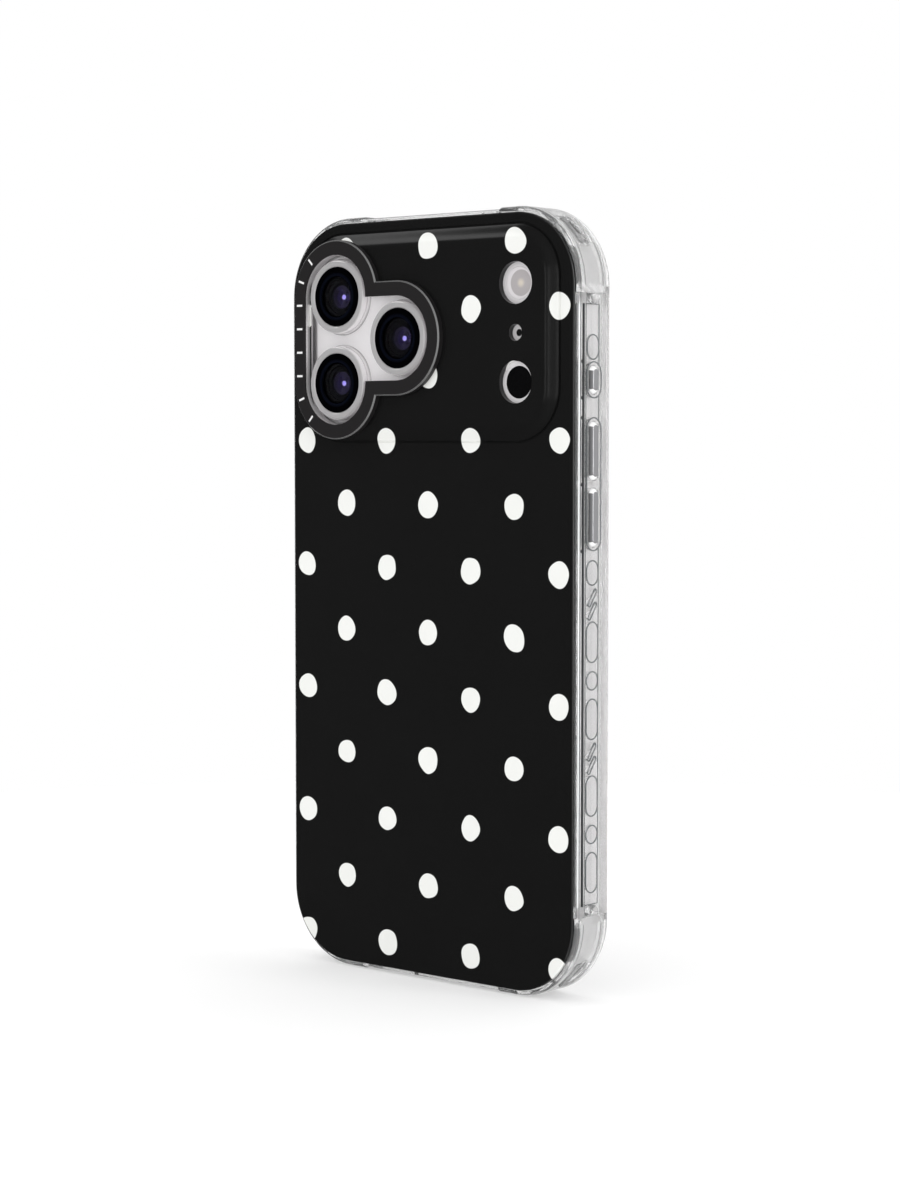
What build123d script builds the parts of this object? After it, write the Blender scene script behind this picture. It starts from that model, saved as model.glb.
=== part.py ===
"""A smartphone in its clear-edged protective case, standing on its bottom edge.

X runs across the back, to the right as the back is looked at. Y runs from the back of the case
to the screen. Z runs up. The origin is the middle of the bottom of the whole object, in millimetres.
"""

from build123d import *
from math import cos, degrees, radians, sin
import os

# ---- phone -------------------------------------------------------------------------------------
phone_width = 78.0
phone_height = 163.4
phone_thickness = 8.8
phone_corner = 14.2
housing_wall = 2.4            # side wall of the aluminium housing
housing_back = 1.5            # back wall of the housing, with the rear glass let into it
housing_back_round = 2.2
housing_front_round = 1.1
display_glass_thickness = 0.8
display_glass_inset = 1.3     # housing edge left showing round the front glass
display_panel_thickness = 0.8
rear_glass_thickness = 0.7
rear_glass_ledge = 2.5
glue_gap = 0.05               # round glass set in a recess

# ---- camera plateau on the phone ---------------------------------------------------------------
plateau_rise = 1.9
plateau_from_side = 3.0       # phone's side to the foot of the plateau
plateau_from_top = 2.5
plateau_lens_margin = 11.65   # upper lens to the foot above it, and lower lens to the foot below
plateau_corner = 11.0
plateau_slope = 3.2           # run of the slope round the plateau
plateau_roof = 1.0            # wall left over the cameras
plateau_room_inset = 1.0      # room for the cameras, inside the plateau's flat top
plateau_room_corner = 1.5

# ---- cameras -----------------------------------------------------------------------------------
lens_ring_diameter = 16.4
lens_from_side = 14.2         # phone's side to the middle of the upper and lower lens
lens_gap_down = 2.9           # upper lens ring to lower lens ring
lens_gap_across = 1.9         # that column's rings to the middle ring, measured across
lens_below_plateau_middle = 0.45
lens_ring_rise = 2.35         # above the plateau
lens_ring_wall = 1.6          # round the lens glass
lens_ring_ledge = 0.5         # that the lens glass sits on
lens_ring_foot = 0.4
lens_glass_thickness = 0.6
lens_glass_sunk = 0.1         # below the ring's rim
lens_spigot = 0.9
lens_spigot_inset = 1.0       # inside the ring's outside
barrel_diameter = 9.6
barrel_length = 3.4
barrel_front_gap = 0.65       # barrel to the inside of the lens glass, at rest
element_diameter = 5.1
camera_can_width = 12.0
camera_can_height = 13.4
camera_can_floor = 4.9        # depth of the can's floor from the phone's back
barrel_clearance = 0.2

# ---- flash, depth sensor and microphone --------------------------------------------------------
sensor_from_side = 12.5       # phone's side to the column of flash, microphone and depth sensor
sensor_spread = 10.5          # flash above the microphone, and depth sensor below it
flash_diameter = 6.9
microphone_diameter = 1.5
window_thickness = 0.6

# ---- keys --------------------------------------------------------------------------------------
key_travel = 0.3
key_width = 2.6
key_stands_out = 0.35
key_side_clearance = 0.08
key_flange = 0.4
key_shorter_than_cover = 0.8
cover_width = 3.2
cover_stands_out = 3.3        # from the phone's side
cover_to_key = 0.05
cover_clearance = 0.15
cover_round = 0.7
# name: (side, middle below the phone's top, length of the cover)
key_layout = {
    "action": (1, 33.9, 6.0),
    "volume_up": (1, 48.85, 12.4),
    "volume_down": (1, 62.9, 12.4),
    "side": (-1, 53.3, 17.0),
    "camera_control": (-1, 100.7, 16.0),
}

# ---- case --------------------------------------------------------------------------------------
fit_gap = 0.2                 # phone to case, all round
panel_thickness = 1.2
panel_reach = 1.8             # panel edge beyond the phone's side
panel_gap = 0.05
wall_reach = 2.0              # outside of the bumper's wall beyond the phone's side
rail_reach = 2.6
rail_round = 0.6
back_rail_start = 0.5         # from the back face
back_rail_end = 3.6
front_rail_width = 1.8        # up to the phone's front
lip_height = 1.3              # lip above the screen
lip_overhang = 0.9            # lip over the edge of the screen
lip_gap = 0.1
lip_round = 0.5
bezel_width = 0.8
bezel_reach = 2.75
relief_reach = 2.45           # top of the raised shapes in the channel
relief_width = 3.9
relief_pad = 8.6
relief_short_pad = 5.2
relief_step = 8.2             # stud to pad
relief_gap = 0.5
relief_bottom_gap = 2.6
rib_start = 2.3
rib_step = 2.8
rib_stretch = 7.8             # length that two ribs take
end_ribs = (14.0, 18.0)       # ribs across the top, from the middle

# ---- corner cushions ---------------------------------------------------------------------------
cushion_reach = 3.1
cushion_start = 0.6           # from the back face
cushion_front_inset = 0.3     # behind the case's front
cushion_round = 1.3
cushion_across = 19.0         # phone's side to where a cushion ends
cushion_down = 15.7           # phone's top to where a cushion ends
cushion_tongue_gap = 0.3      # round tongue to the rails beside it
cushion_tongue_reach = 2.3    # tongue below the cushion's end
pocket_length = 8.0
pocket_width = 2.6
pocket_depth = 0.6

# ---- raised back of the case over the plateau --------------------------------------------------
cover_plateau_rise = 1.8
cover_plateau_across = 3.0    # wider than the phone's plateau
cover_plateau_along = 4.3
cover_plateau_corner = 12.0
cover_plateau_slope = 4.0
window_margin = 1.05          # window edge outside the piece that looks through it

# ---- camera ring on the case -------------------------------------------------------------------
ring_rise = 3.3               # above the case's back face
ring_lens_gap = 1.1           # lens ring to the camera ring's inside
ring_width = 3.3
ring_skirt = 0.7
ring_plate = 0.4
ring_chamfer = 0.3
collar_gap = 0.08
mark_pitch = 5.3
mark_length = 1.7
mark_width = 0.45
mark_depth = 0.15
mark_count = 8

# ---- openings in the bottom edge ---------------------------------------------------------------
port_cutout_width = 13.6
port_cutout_depth = 7.2
speaker_slot_middle = 15.75
speaker_slot_length = 7.4
speaker_slot_width = 2.4
speaker_hole_diameter = 1.4
speaker_hole_pitch = 1.9
speaker_hole_count = 4
port_shell_width = 9.0
port_shell_height = 3.2
port_shell_wall = 0.32
port_shell_length = 7.2
port_clearance = 0.05
port_tongue_width = 6.65
port_tongue_thickness = 0.7
screw_offset = 7.6
screw_diameter = 1.6
screw_length = 1.5

# ---- inside the phone --------------------------------------------------------------------------
rear_glass_from_side = 6.0
rear_glass_from_bottom = 6.0
rear_glass_from_plateau = 3.0
magnet_ring_outer = 27.0
magnet_ring_inner = 23.0
magnet_count = 16
magnet_gap_angle = 3.0
magnet_thickness = 0.65
magnet_bar = (4.0, 12.0)
magnet_bar_gap = 2.0
magnet_above_glass_middle = 11.0
coil_gap = 2.0                # coil inside the ring of magnets
coil_width = 10.5
coil_thickness = 0.45
battery_side_gap = 3.6
battery_end_gap = 2.0
haptic_wall = 0.5
haptic_travel = 0.8
haptic_height = 13.0
haptic_clearance = 0.4
loudspeaker_height = 14.0
bottom_row_inset = (6.0, 2.5)  # from the bottom corners of the housing's inside
port_side_gap = 2.0
board_side_gap = 4.0
board_camera_gap = 8.0
layer_gap = 0.1               # between the layers behind the screen

# ---- places worked out from the sizes above ----------------------------------------------------
case_depth = panel_thickness + fit_gap + phone_thickness + lip_height
total_depth = case_depth + ring_rise
back_y = ring_rise - total_depth / 2          # the case's flat back face
panel_inner_y = back_y + panel_thickness
phone_back_y = panel_inner_y + fit_gap
phone_front_y = phone_back_y + phone_thickness
lip_front_y = phone_front_y + lip_height
mid_y = phone_back_y + phone_thickness / 2
centre_z = phone_height / 2 + cushion_reach
plateau_y = phone_back_y - plateau_rise       # outside of the plateau
ring_top_y = back_y - ring_rise
cover_top_y = back_y - cover_plateau_rise
side_x = phone_width / 2
cavity_x = side_x - housing_wall
cavity_z = phone_height / 2 - housing_wall
panel_front_y = phone_front_y - display_glass_thickness - layer_gap
inside_front = panel_front_y - display_panel_thickness - 2 * layer_gap - phone_back_y
lens_glass_diameter = lens_ring_diameter - 2 * lens_ring_wall
lens_ledge_diameter = lens_glass_diameter - 2 * lens_ring_ledge
lens_bore_diameter = lens_ring_diameter - 2 * lens_spigot_inset
lens_pitch = lens_ring_diameter + lens_gap_down
lens_side_step = lens_ring_diameter + lens_gap_across
ring_inner = lens_ring_diameter / 2 + ring_lens_gap
ring_outer = ring_inner + ring_width
plateau_width = phone_width - 2 * plateau_from_side
plateau_height = lens_pitch + 2 * plateau_lens_margin
plateau_centre = phone_height / 2 - plateau_from_top - plateau_height / 2
plateau_foot = plateau_centre - plateau_height / 2
cover_plateau_width = plateau_width + cover_plateau_across
cover_plateau_height = plateau_height + cover_plateau_along
lens_column = lens_from_side - side_x
lens_middle_height = plateau_centre - lens_below_plateau_middle
lenses = {
    "upper": (lens_column, lens_middle_height + lens_pitch / 2),
    "lower": (lens_column, lens_middle_height - lens_pitch / 2),
    "middle": (lens_column + lens_side_step, lens_middle_height),
}
sensor_column = side_x - sensor_from_side
microphone_height = plateau_centre
flash_height = plateau_centre + sensor_spread
depth_sensor_height = plateau_centre - sensor_spread
keys = {
    name: (side, phone_height / 2 - below_top, length)
    for name, (side, below_top, length) in key_layout.items()
}
cushion_along_x = side_x - cushion_across     # where a cushion starts, from the middle
cushion_along_z = phone_height / 2 - cushion_down
magnet_back_y = phone_back_y + rear_glass_thickness + glue_gap
corners = {
    "top_right": (1, 1),
    "top_left": (-1, 1),
    "bottom_right": (1, -1),
    "bottom_left": (-1, -1),
}


# ---- helpers -----------------------------------------------------------------------------------
def outline(reach):
    """The phone's outline from behind, grown by reach on every side."""
    return RectangleRounded(phone_width + 2 * reach, phone_height + 2 * reach, phone_corner + reach)


def slab(sketch, back, front, x=0.0, z=0.0):
    """A sketch in X and Z made solid from back to front along Y. Z counts from the phone's middle."""
    plane = Plane(origin=(x, front, centre_z + z), x_dir=(1, 0, 0), z_dir=(0, -1, 0))
    return extrude(plane * sketch, front - back)


def block(x, z, back, front, width, height):
    return slab(Rectangle(width, height), back, front, x, z)


def rounded_slab(sketch, back, front, back_round, front_round):
    """A slab whose long edges at the back and at the front are rounded."""
    solid = slab(sketch, back, front)
    faces = solid.faces().filter_by(Axis.Y).sort_by(Axis.Y)
    if back_round:
        solid = fillet(faces[0].edges(), back_round)
    if front_round:
        solid = fillet(solid.faces().filter_by(Axis.Y).sort_by(Axis.Y)[-1].edges(), front_round)
    return solid


def side_plane(side, reach, z, y=mid_y):
    """A plane facing out of a long side, reach beyond it, with its x along Z."""
    origin = (side * (side_x + reach), y, centre_z + z)
    return Plane(origin=origin, x_dir=(0, 0, 1), z_dir=(side, 0, 0))


def side_pill(side, z, length, width, inner, outer, y=mid_y):
    return extrude(side_plane(side, inner, z, y) * SlotOverall(length, width), outer - inner)


def end_pill(end, x, length, width, inner, outer):
    """A stadium along X through the top (end 1) or bottom (end -1) wall."""
    z = centre_z + end * (phone_height / 2 + inner)
    plane = Plane(origin=(x, mid_y, z), x_dir=(1, 0, 0), z_dir=(0, 0, end))
    return extrude(plane * SlotOverall(length, width), outer - inner)


def turned(profile, x, z):
    """Spins a profile of (radius, Y) points about the lens axis at x, z."""
    plane = Plane(origin=(x, 0, centre_z + z), x_dir=(1, 0, 0), z_dir=(0, 0, 1))
    axis = Axis((x, 0, centre_z + z), (0, 1, 0))
    return revolve(plane * make_face(Polyline(profile, close=True)), axis)


def disc(x, z, back, front, diameter):
    return slab(Circle(diameter / 2), back, front, x, z)


def tapered(low, low_y, high, high_y, z):
    """A hill between two outlines, low_y the foot and high_y the top."""
    feet = Plane(origin=(0, low_y, centre_z + z), x_dir=(1, 0, 0), z_dir=(0, -1, 0)) * low
    top = Plane(origin=(0, high_y, centre_z + z), x_dir=(1, 0, 0), z_dir=(0, -1, 0)) * high
    return loft([feet.face(), top.face()])


def lens_outline(radius):
    """The trefoil round the three lenses, radius from their centres."""
    column = Location((lens_column, lens_middle_height)) * SlotOverall(
        lens_pitch + 2 * radius, 2 * radius, rotation=90
    )
    arm_middle = lens_column + lens_side_step / 2
    arm = Location((arm_middle, lens_middle_height)) * SlotOverall(
        lens_side_step + 2 * radius, 2 * radius
    )
    return column + arm


# ---- case --------------------------------------------------------------------------------------
def make_back_panel():
    flat = slab(outline(panel_reach), back_y, panel_inner_y)
    foot = RectangleRounded(cover_plateau_width, cover_plateau_height, cover_plateau_corner)
    top_width = cover_plateau_width - 2 * cover_plateau_slope
    top_height = cover_plateau_height - 2 * cover_plateau_slope
    top_corner = cover_plateau_corner - cover_plateau_slope
    top = RectangleRounded(top_width, top_height, top_corner)
    hill = tapered(foot, back_y, top, cover_top_y, plateau_centre)
    room_foot = RectangleRounded(
        plateau_width + 3 * fit_gap, plateau_height + 3 * fit_gap, plateau_corner + fit_gap
    )
    room_slope = plateau_slope
    room_top = RectangleRounded(
        plateau_width + 3 * fit_gap - 2 * room_slope,
        plateau_height + 3 * fit_gap - 2 * room_slope,
        plateau_corner + fit_gap - room_slope,
    )
    room = tapered(room_foot, panel_inner_y, room_top, plateau_y - fit_gap, plateau_centre)
    panel = flat + hill - room
    panel -= slab(lens_outline(ring_outer - ring_skirt), cover_top_y - 1, panel_inner_y + 1)
    for height, diameter in sensors():
        window = diameter + 2 * window_margin
        panel -= disc(sensor_column, height, cover_top_y - 1, panel_inner_y + 1, window)
    return panel


def sensors():
    """(height, diameter) of each piece in the column beside the lenses."""
    return (
        (flash_height, flash_diameter),
        (depth_sensor_height, flash_diameter),
        (microphone_height, microphone_diameter),
    )


def corner_block(sx, sz, back, front):
    """The room that a corner cushion takes, out past the case's corner."""
    far = 20.0
    width = side_x + far - cushion_along_x
    height = phone_height / 2 + far - cushion_along_z
    x = sx * (cushion_along_x + width / 2)
    z = sz * (cushion_along_z + height / 2)
    return block(x, z, back, front, width, height)


def make_cushion(sx, sz):
    back = back_y + cushion_start
    front = lip_front_y - cushion_front_inset
    body = rounded_slab(outline(cushion_reach), back, front, cushion_round, cushion_round)
    body &= corner_block(sx, sz, back, front)
    low, high = back_y + back_rail_end, phone_front_y - front_rail_width
    width = high - low - 2 * cushion_tongue_gap
    length = width + cushion_tongue_reach
    tongue_z = sz * (cushion_along_z - cushion_tongue_reach + length / 2)
    body += side_pill(sx, tongue_z, length, width, wall_reach, rail_reach, (low + high) / 2)
    body -= slab(outline(wall_reach), back - 1, front + 1)
    middle_x = sx * (side_x - phone_corner)
    middle_z = sz * (phone_height / 2 - phone_corner)
    out = (phone_corner + cushion_reach - pocket_depth) * cos(radians(45))
    pocket = Plane(
        origin=(middle_x + sx * out, mid_y, centre_z + middle_z + sz * out),
        x_dir=(-sx, 0, sz),
        z_dir=(sx, 0, sz),
    )
    return body - extrude(pocket * SlotOverall(pocket_length, pocket_width), 2.0)


def relief(side, kind, z):
    """One raised shape on the channel floor: a long pad, a short pad, a round stud or a rib."""
    floor = wall_reach - 0.2
    if kind == "rib":
        rib = Rectangle(0.9, relief_width + 0.4, rotation=35)
        return extrude(side_plane(side, floor, z) * rib, relief_reach - floor)
    if kind == "stud":
        return extrude(side_plane(side, floor, z) * Circle(relief_width / 2), relief_reach - floor)
    length = relief_pad if kind == "pad" else relief_short_pad
    return side_pill(side, z, length, relief_width, floor, relief_reach)


def free_stretches(side):
    """Lengths of the channel between the raised frames and the cushions' tongues, as (low, high)."""
    tongue = cushion_along_z - cushion_tongue_reach
    edges = [-tongue, tongue]
    for frame_side, z, length in bezels():
        if frame_side == side:
            edges += [z - length / 2, z + length / 2]
    edges.sort()
    return list(zip(edges[::2], edges[1::2]))


def relief_row(side):
    """Pad, stud and pad, then two ribs, from the bottom of each free stretch up."""
    row = []
    group = 2 * relief_step + relief_pad
    for low, high in free_stretches(side):
        z = low + (relief_bottom_gap if low < -cushion_along_z / 2 else relief_gap)
        while z + group <= high:
            middle = z + group / 2
            row += [("pad", middle - relief_step), ("stud", middle), ("pad", middle + relief_step)]
            z += group
            if z + rib_stretch > high:
                break
            row += [("rib", z + rib_start), ("rib", z + rib_start + rib_step)]
            z += rib_stretch
        if z + relief_short_pad <= high:
            row.append(("short pad", z + relief_short_pad / 2))
    return row


def make_bumper():
    wall = slab(outline(wall_reach), panel_inner_y, phone_front_y)
    back_rail = rounded_slab(
        outline(rail_reach), back_y + back_rail_start, back_y + back_rail_end, rail_round, 0.3
    )
    front_rail = rounded_slab(
        outline(rail_reach), phone_front_y - front_rail_width, phone_front_y, 0.3, 0
    )
    rails = back_rail + front_rail
    for sx, sz in corners.values():
        rails -= corner_block(sx, sz, back_y - 1, lip_front_y + 1)
    bumper = wall + rails
    for side in (1, -1):
        for kind, z in relief_row(side):
            bumper += relief(side, kind, z)
    for x in [sign * place for sign in (-1, 1) for place in end_ribs]:
        rib = end_pill(1, x, 4.9, 0.9, wall_reach - 0.2, relief_reach)
        bumper += rib.rotate(Axis((x, mid_y, 0), (0, 0, 1)), 90)
    for side, z, length in bezels():
        bumper += side_pill(
            side, z, length, cover_width + 2 * bezel_width, wall_reach - 0.2, bezel_reach
        )
    bumper -= slab(outline(panel_reach + panel_gap), back_y - 1, panel_inner_y)
    bumper -= slab(outline(fit_gap), back_y - 1, lip_front_y + 1)
    for side, z, length in keys.values():
        hole_length = length + 2 * cover_clearance
        hole_width = cover_width + 2 * cover_clearance
        bumper -= side_pill(side, z, hole_length, hole_width, -1.0, bezel_reach + 1)
        groove_x = side * (side_x + (key_stands_out + fit_gap) / 2)
        groove = block(
            groove_x, z, mid_y - hole_width / 2, lip_front_y + 1,
            key_stands_out + fit_gap, length,
        )
        bumper -= groove
    bumper -= end_pill(-1, 0, port_cutout_width, port_cutout_depth, -1.0, cushion_reach + 1)
    for sx in (-1, 1):
        bumper -= end_pill(
            -1, sx * speaker_slot_middle, speaker_slot_length, speaker_slot_width, -1.0,
            cushion_reach + 1,
        )
    return bumper


def bezels():
    """(side, height, length) of each raised frame; the two volume covers share one."""
    lengths = {n: k[2] + 2 * bezel_width for n, k in keys.items()}
    up, down = keys["volume_up"], keys["volume_down"]
    shared = up[1] - down[1] + (up[2] + down[2]) / 2 + 2 * bezel_width
    found = [(up[0], (up[1] + down[1]) / 2, shared)]
    for name in ("action", "side", "camera_control"):
        found.append((keys[name][0], keys[name][1], lengths[name]))
    return found


def make_lip():
    ring = rounded_slab(outline(rail_reach), phone_front_y, lip_front_y, 0, lip_round)
    cushion_outline = slab(outline(wall_reach), phone_front_y - 1, lip_front_y + 1)
    for sx, sz in corners.values():
        corner = corner_block(sx, sz, phone_front_y - 1, lip_front_y - cushion_front_inset)
        ring -= corner - cushion_outline
    ring -= slab(outline(fit_gap), phone_front_y - 1, phone_front_y + lip_gap)
    return ring - slab(outline(-lip_overhang), phone_front_y - 1, lip_front_y + 1)


def make_camera_ring():
    cap = slab(lens_outline(ring_outer), ring_top_y, cover_top_y)
    cap = chamfer(cap.faces().sort_by(Axis.Y)[0].edges(), ring_chamfer)
    cap -= slab(lens_outline(ring_inner), ring_top_y - 1, cover_top_y + 1)
    room = lens_outline(ring_outer - ring_skirt)
    cap -= slab(room, ring_top_y + ring_plate, cover_top_y + 1)
    for x, z, angle in mark_places():
        cap -= mark(x, z, angle)
    return cap


def make_camera_collar():
    outer = slab(
        lens_outline(ring_outer - ring_skirt - collar_gap), ring_top_y + ring_plate,
        plateau_y - fit_gap,
    )
    return outer - slab(lens_outline(ring_inner), ring_top_y - 1, phone_back_y)


def mark_places():
    """Evenly spaced along the ring's left side and round its two left lobes."""
    middle = (ring_outer + ring_inner) / 2
    straight = lens_pitch / 2
    places = []
    for i in range(mark_count):
        along = (i - (mark_count - 1) / 2) * mark_pitch
        over = abs(along) - straight
        up = 1 if along > 0 else -1
        if over <= 0:
            places.append((lens_column - middle, lens_middle_height + along, 0.0))
        else:
            turn = over / middle
            x = lens_column - middle * cos(turn)
            z = lens_middle_height + up * (straight + middle * sin(turn))
            places.append((x, z, -up * degrees(turn)))
    return places


def mark(x, z, angle):
    sketch = Rectangle(mark_length, mark_width, rotation=angle)
    return slab(sketch, ring_top_y, ring_top_y + mark_depth, x, z)


def make_cover(side, z, length):
    cover = side_pill(
        side, z, length, cover_width, key_stands_out + cover_to_key, cover_stands_out
    )
    outer = cover.faces().sort_by(Axis.X)[-1 if side > 0 else 0]
    return fillet(outer.edges(), cover_round)


# ---- phone -------------------------------------------------------------------------------------
def make_housing():
    front = phone_front_y
    body = rounded_slab(outline(0), phone_back_y, front, housing_back_round, housing_front_round)
    foot = RectangleRounded(plateau_width, plateau_height, plateau_corner)
    top = RectangleRounded(
        plateau_width - 2 * plateau_slope, plateau_height - 2 * plateau_slope,
        plateau_corner - plateau_slope,
    )
    body += tapered(foot, phone_back_y, top, plateau_y, plateau_centre)
    inner_back = phone_back_y + housing_back
    body -= slab(outline(-housing_wall), inner_back, front + 1)
    body -= slab(outline(glue_gap - display_glass_inset), front - display_glass_thickness, front + 1)
    width, height, middle, corner = rear_glass_outline()
    body -= slab(
        RectangleRounded(width + 2 * glue_gap, height + 2 * glue_gap, corner),
        phone_back_y - 1, phone_back_y + rear_glass_thickness, 0, middle,
    )
    ledge = 2 * rear_glass_ledge
    body -= slab(
        RectangleRounded(width - ledge, height - ledge, corner - rear_glass_ledge),
        phone_back_y, inner_back + 1, 0, middle,
    )
    room_width = plateau_width - 2 * (plateau_slope + plateau_room_inset)
    room_height = plateau_height - 2 * (plateau_slope + plateau_room_inset)
    body -= slab(
        RectangleRounded(room_width, room_height, plateau_room_corner),
        plateau_y + plateau_roof, inner_back + 1, 0, plateau_centre,
    )
    for x, z in lenses.values():
        body -= disc(x, z, plateau_y - 1, inner_back, lens_bore_diameter)
    for z, diameter in sensors():
        body -= disc(sensor_column, z, plateau_y - 1, inner_back, diameter + 2 * glue_gap)
    for side, z, length in keys.values():
        key_length = length - key_shorter_than_cover + 2 * key_side_clearance
        body -= side_pill(
            side, z, key_length, key_width + 2 * key_side_clearance, -housing_wall - 1, 1
        )
    body -= end_pill(
        -1, 0, port_shell_width + 2 * port_clearance, port_shell_height + 2 * port_clearance,
        -housing_wall - 1, 1,
    )
    for x in speaker_hole_places():
        body -= bottom_hole(x, speaker_hole_diameter, housing_wall + 1)
    for x in (-screw_offset, screw_offset):
        body -= bottom_hole(x, screw_diameter + 2 * port_clearance, screw_length)
    return body


def rear_glass_outline():
    """Width, height, middle and corner of the rear glass, below the plateau."""
    top = plateau_foot - rear_glass_from_plateau
    bottom = rear_glass_from_bottom - phone_height / 2
    width = phone_width - 2 * rear_glass_from_side
    return width, top - bottom, (top + bottom) / 2, phone_corner - rear_glass_from_side + 1.0


def speaker_hole_places():
    start = speaker_slot_middle - (speaker_hole_count - 1) / 2 * speaker_hole_pitch
    row = [start + i * speaker_hole_pitch for i in range(speaker_hole_count)]
    return row + [-x for x in row]


def bottom_hole(x, diameter, depth):
    plane = Plane(
        origin=(x, mid_y, centre_z - phone_height / 2), x_dir=(1, 0, 0), z_dir=(0, 0, 1)
    )
    return extrude(plane * Circle(diameter / 2), depth)


def make_rear_glass():
    width, height, middle, corner = rear_glass_outline()
    glass = RectangleRounded(width, height, corner)
    return slab(glass, phone_back_y, phone_back_y + rear_glass_thickness, 0, middle)


def make_display_glass():
    front = phone_front_y
    return rounded_slab(
        outline(-display_glass_inset), front - display_glass_thickness, front, 0, 0.3
    )


def make_display_panel():
    back = panel_front_y - display_panel_thickness
    return slab(outline(-housing_wall - 0.3), back, panel_front_y)


def make_lens_ring(x, z):
    rim = plateau_y - lens_ring_rise
    seat = rim + lens_glass_sunk + lens_glass_thickness
    outer, spigot = lens_ring_diameter / 2, lens_bore_diameter / 2 - 0.05
    glass, ledge = lens_glass_diameter / 2 + glue_gap, lens_ledge_diameter / 2
    return turned(
        [
            (glass, rim), (outer - 0.35, rim), (outer, rim + 0.35), (outer, plateau_y - 0.7),
            (outer + lens_ring_foot, plateau_y), (spigot, plateau_y),
            (spigot, plateau_y + lens_spigot),
            (ledge, plateau_y + lens_spigot), (ledge, seat), (glass, seat),
        ],
        x, z,
    )


def lens_glass_back():
    return plateau_y - lens_ring_rise + lens_glass_sunk + lens_glass_thickness


def make_lens_glass(x, z):
    back = lens_glass_back() - lens_glass_thickness
    return disc(x, z, back, back + lens_glass_thickness, lens_glass_diameter)


def make_lens_baffle(x, z):
    front = lens_glass_back() + 0.1
    rim, throat = lens_ledge_diameter / 2 - 0.05, barrel_diameter / 2 + barrel_clearance
    return turned([(rim - 0.4, front), (rim, front), (rim, front + 1.2), (throat, front + 1.2)], x, z)


def make_barrel(x, z):
    front = lens_glass_back() + barrel_front_gap
    end = front + barrel_length
    outer, seat = barrel_diameter / 2, element_diameter / 2
    return turned(
        [
            (outer - 0.5, front), (outer, front + 0.15), (outer, end), (seat - 0.9, end),
            (seat - 0.9, front + 1.7), (seat, front + 1.7), (seat, front + 0.8),
            (seat + 0.5, front + 0.75), (seat + 0.55, front + 0.4), (seat + 1.2, front + 0.35),
            (seat + 1.25, front),
        ],
        x, z,
    )


def make_element(x, z):
    front = lens_glass_back() + barrel_front_gap + 0.75
    half = element_diameter / 2 - 0.02
    edge_front, back = front + 0.45, front + 0.9
    plane = Plane(origin=(x, 0, centre_z + z), x_dir=(1, 0, 0), z_dir=(0, 0, 1))
    dome = ThreePointArc((0, front), (half * 0.55, front + 0.12), (half, edge_front))
    sides = Polyline([(half, edge_front), (half, back), (0, back), (0, front)])
    return revolve(plane * make_face(dome + sides), Axis((x, 0, centre_z + z), (0, 1, 0)))


def make_camera_can(x, z):
    floor = phone_back_y + camera_can_floor
    front = plateau_y + plateau_roof + 0.1
    can = block(x, z, front, floor, camera_can_width, camera_can_height)
    return can - disc(x, z, front - 1, floor - 0.6, barrel_diameter + 2 * barrel_clearance)


def make_image_sensor(x, z):
    floor = phone_back_y + camera_can_floor - 0.6
    return block(x, z, floor - 0.5, floor, 7.2, 5.6)


def make_window(z, diameter):
    return disc(sensor_column, z, plateau_y, plateau_y + window_thickness, diameter)


def make_key(side, z, length):
    key_length = length - key_shorter_than_cover
    inner = -housing_wall - 0.05
    shaft = side_pill(side, z, key_length, key_width, inner, key_stands_out)
    outer = shaft.faces().sort_by(Axis.X)[-1 if side > 0 else 0]
    shaft = fillet(outer.edges(), 0.15)
    return shaft + side_pill(
        side, z, key_length + 1.4, key_width + 1.0, inner - key_flange, inner
    )


def make_switch(side, z):
    reach = -housing_wall - 0.05 - key_flange - key_travel - 0.05
    return extrude(side_plane(side, reach - 0.6, z) * Rectangle(3.2, 2.4), 0.6)


def make_port_shell():
    outer = end_pill(-1, 0, port_shell_width, port_shell_height, -port_shell_length, 0)
    inner = end_pill(
        -1, 0, port_shell_width - 2 * port_shell_wall, port_shell_height - 2 * port_shell_wall,
        -port_shell_length + 0.5, 1,
    )
    return outer - inner


def make_port_tongue():
    z = centre_z - phone_height / 2
    plane = Plane(origin=(0, mid_y, z + 0.7), x_dir=(1, 0, 0), z_dir=(0, 0, 1))
    tongue = extrude(
        plane * Rectangle(port_tongue_width, port_tongue_thickness), port_shell_length - 1.2
    )
    return fillet(tongue.edges().filter_by(Axis.Z), 0.2)


def make_screw(x):
    head = bottom_hole(x, screw_diameter, screw_length)
    plane = Plane(
        origin=(x, mid_y, centre_z - phone_height / 2), x_dir=(1, 0, 0), z_dir=(0, 0, 1)
    )
    return head - extrude(plane * RegularPolygon(0.45, 5), 0.5)


def make_magnets():
    """A broken ring of magnets round the charging coil, with one bar magnet below it."""
    step = 360.0 / magnet_count
    radius = (magnet_ring_outer + magnet_ring_inner) / 2
    half = step / 2 - magnet_gap_angle / 2
    ends = [(radius * cos(radians(a)), radius * sin(radians(a))) for a in (90 - half, 90, 90 + half)]
    arc = ThreePointArc(*ends)
    width = magnet_ring_outer - magnet_ring_inner
    piece = offset(arc, width / 2, side=Side.BOTH)
    sketch = make_face(piece)
    front = magnet_back_y + magnet_thickness
    found = [
        slab(Rot(0, 0, i * step) * sketch, magnet_back_y, front, 0, magnet_height())
        for i in range(magnet_count)
    ]
    bar_z = magnet_height() - magnet_ring_outer - magnet_bar_gap - magnet_bar[1] / 2
    found.append(block(0, bar_z, magnet_back_y, front, *magnet_bar))
    return found


def magnet_height():
    return rear_glass_outline()[2] + magnet_above_glass_middle


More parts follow.
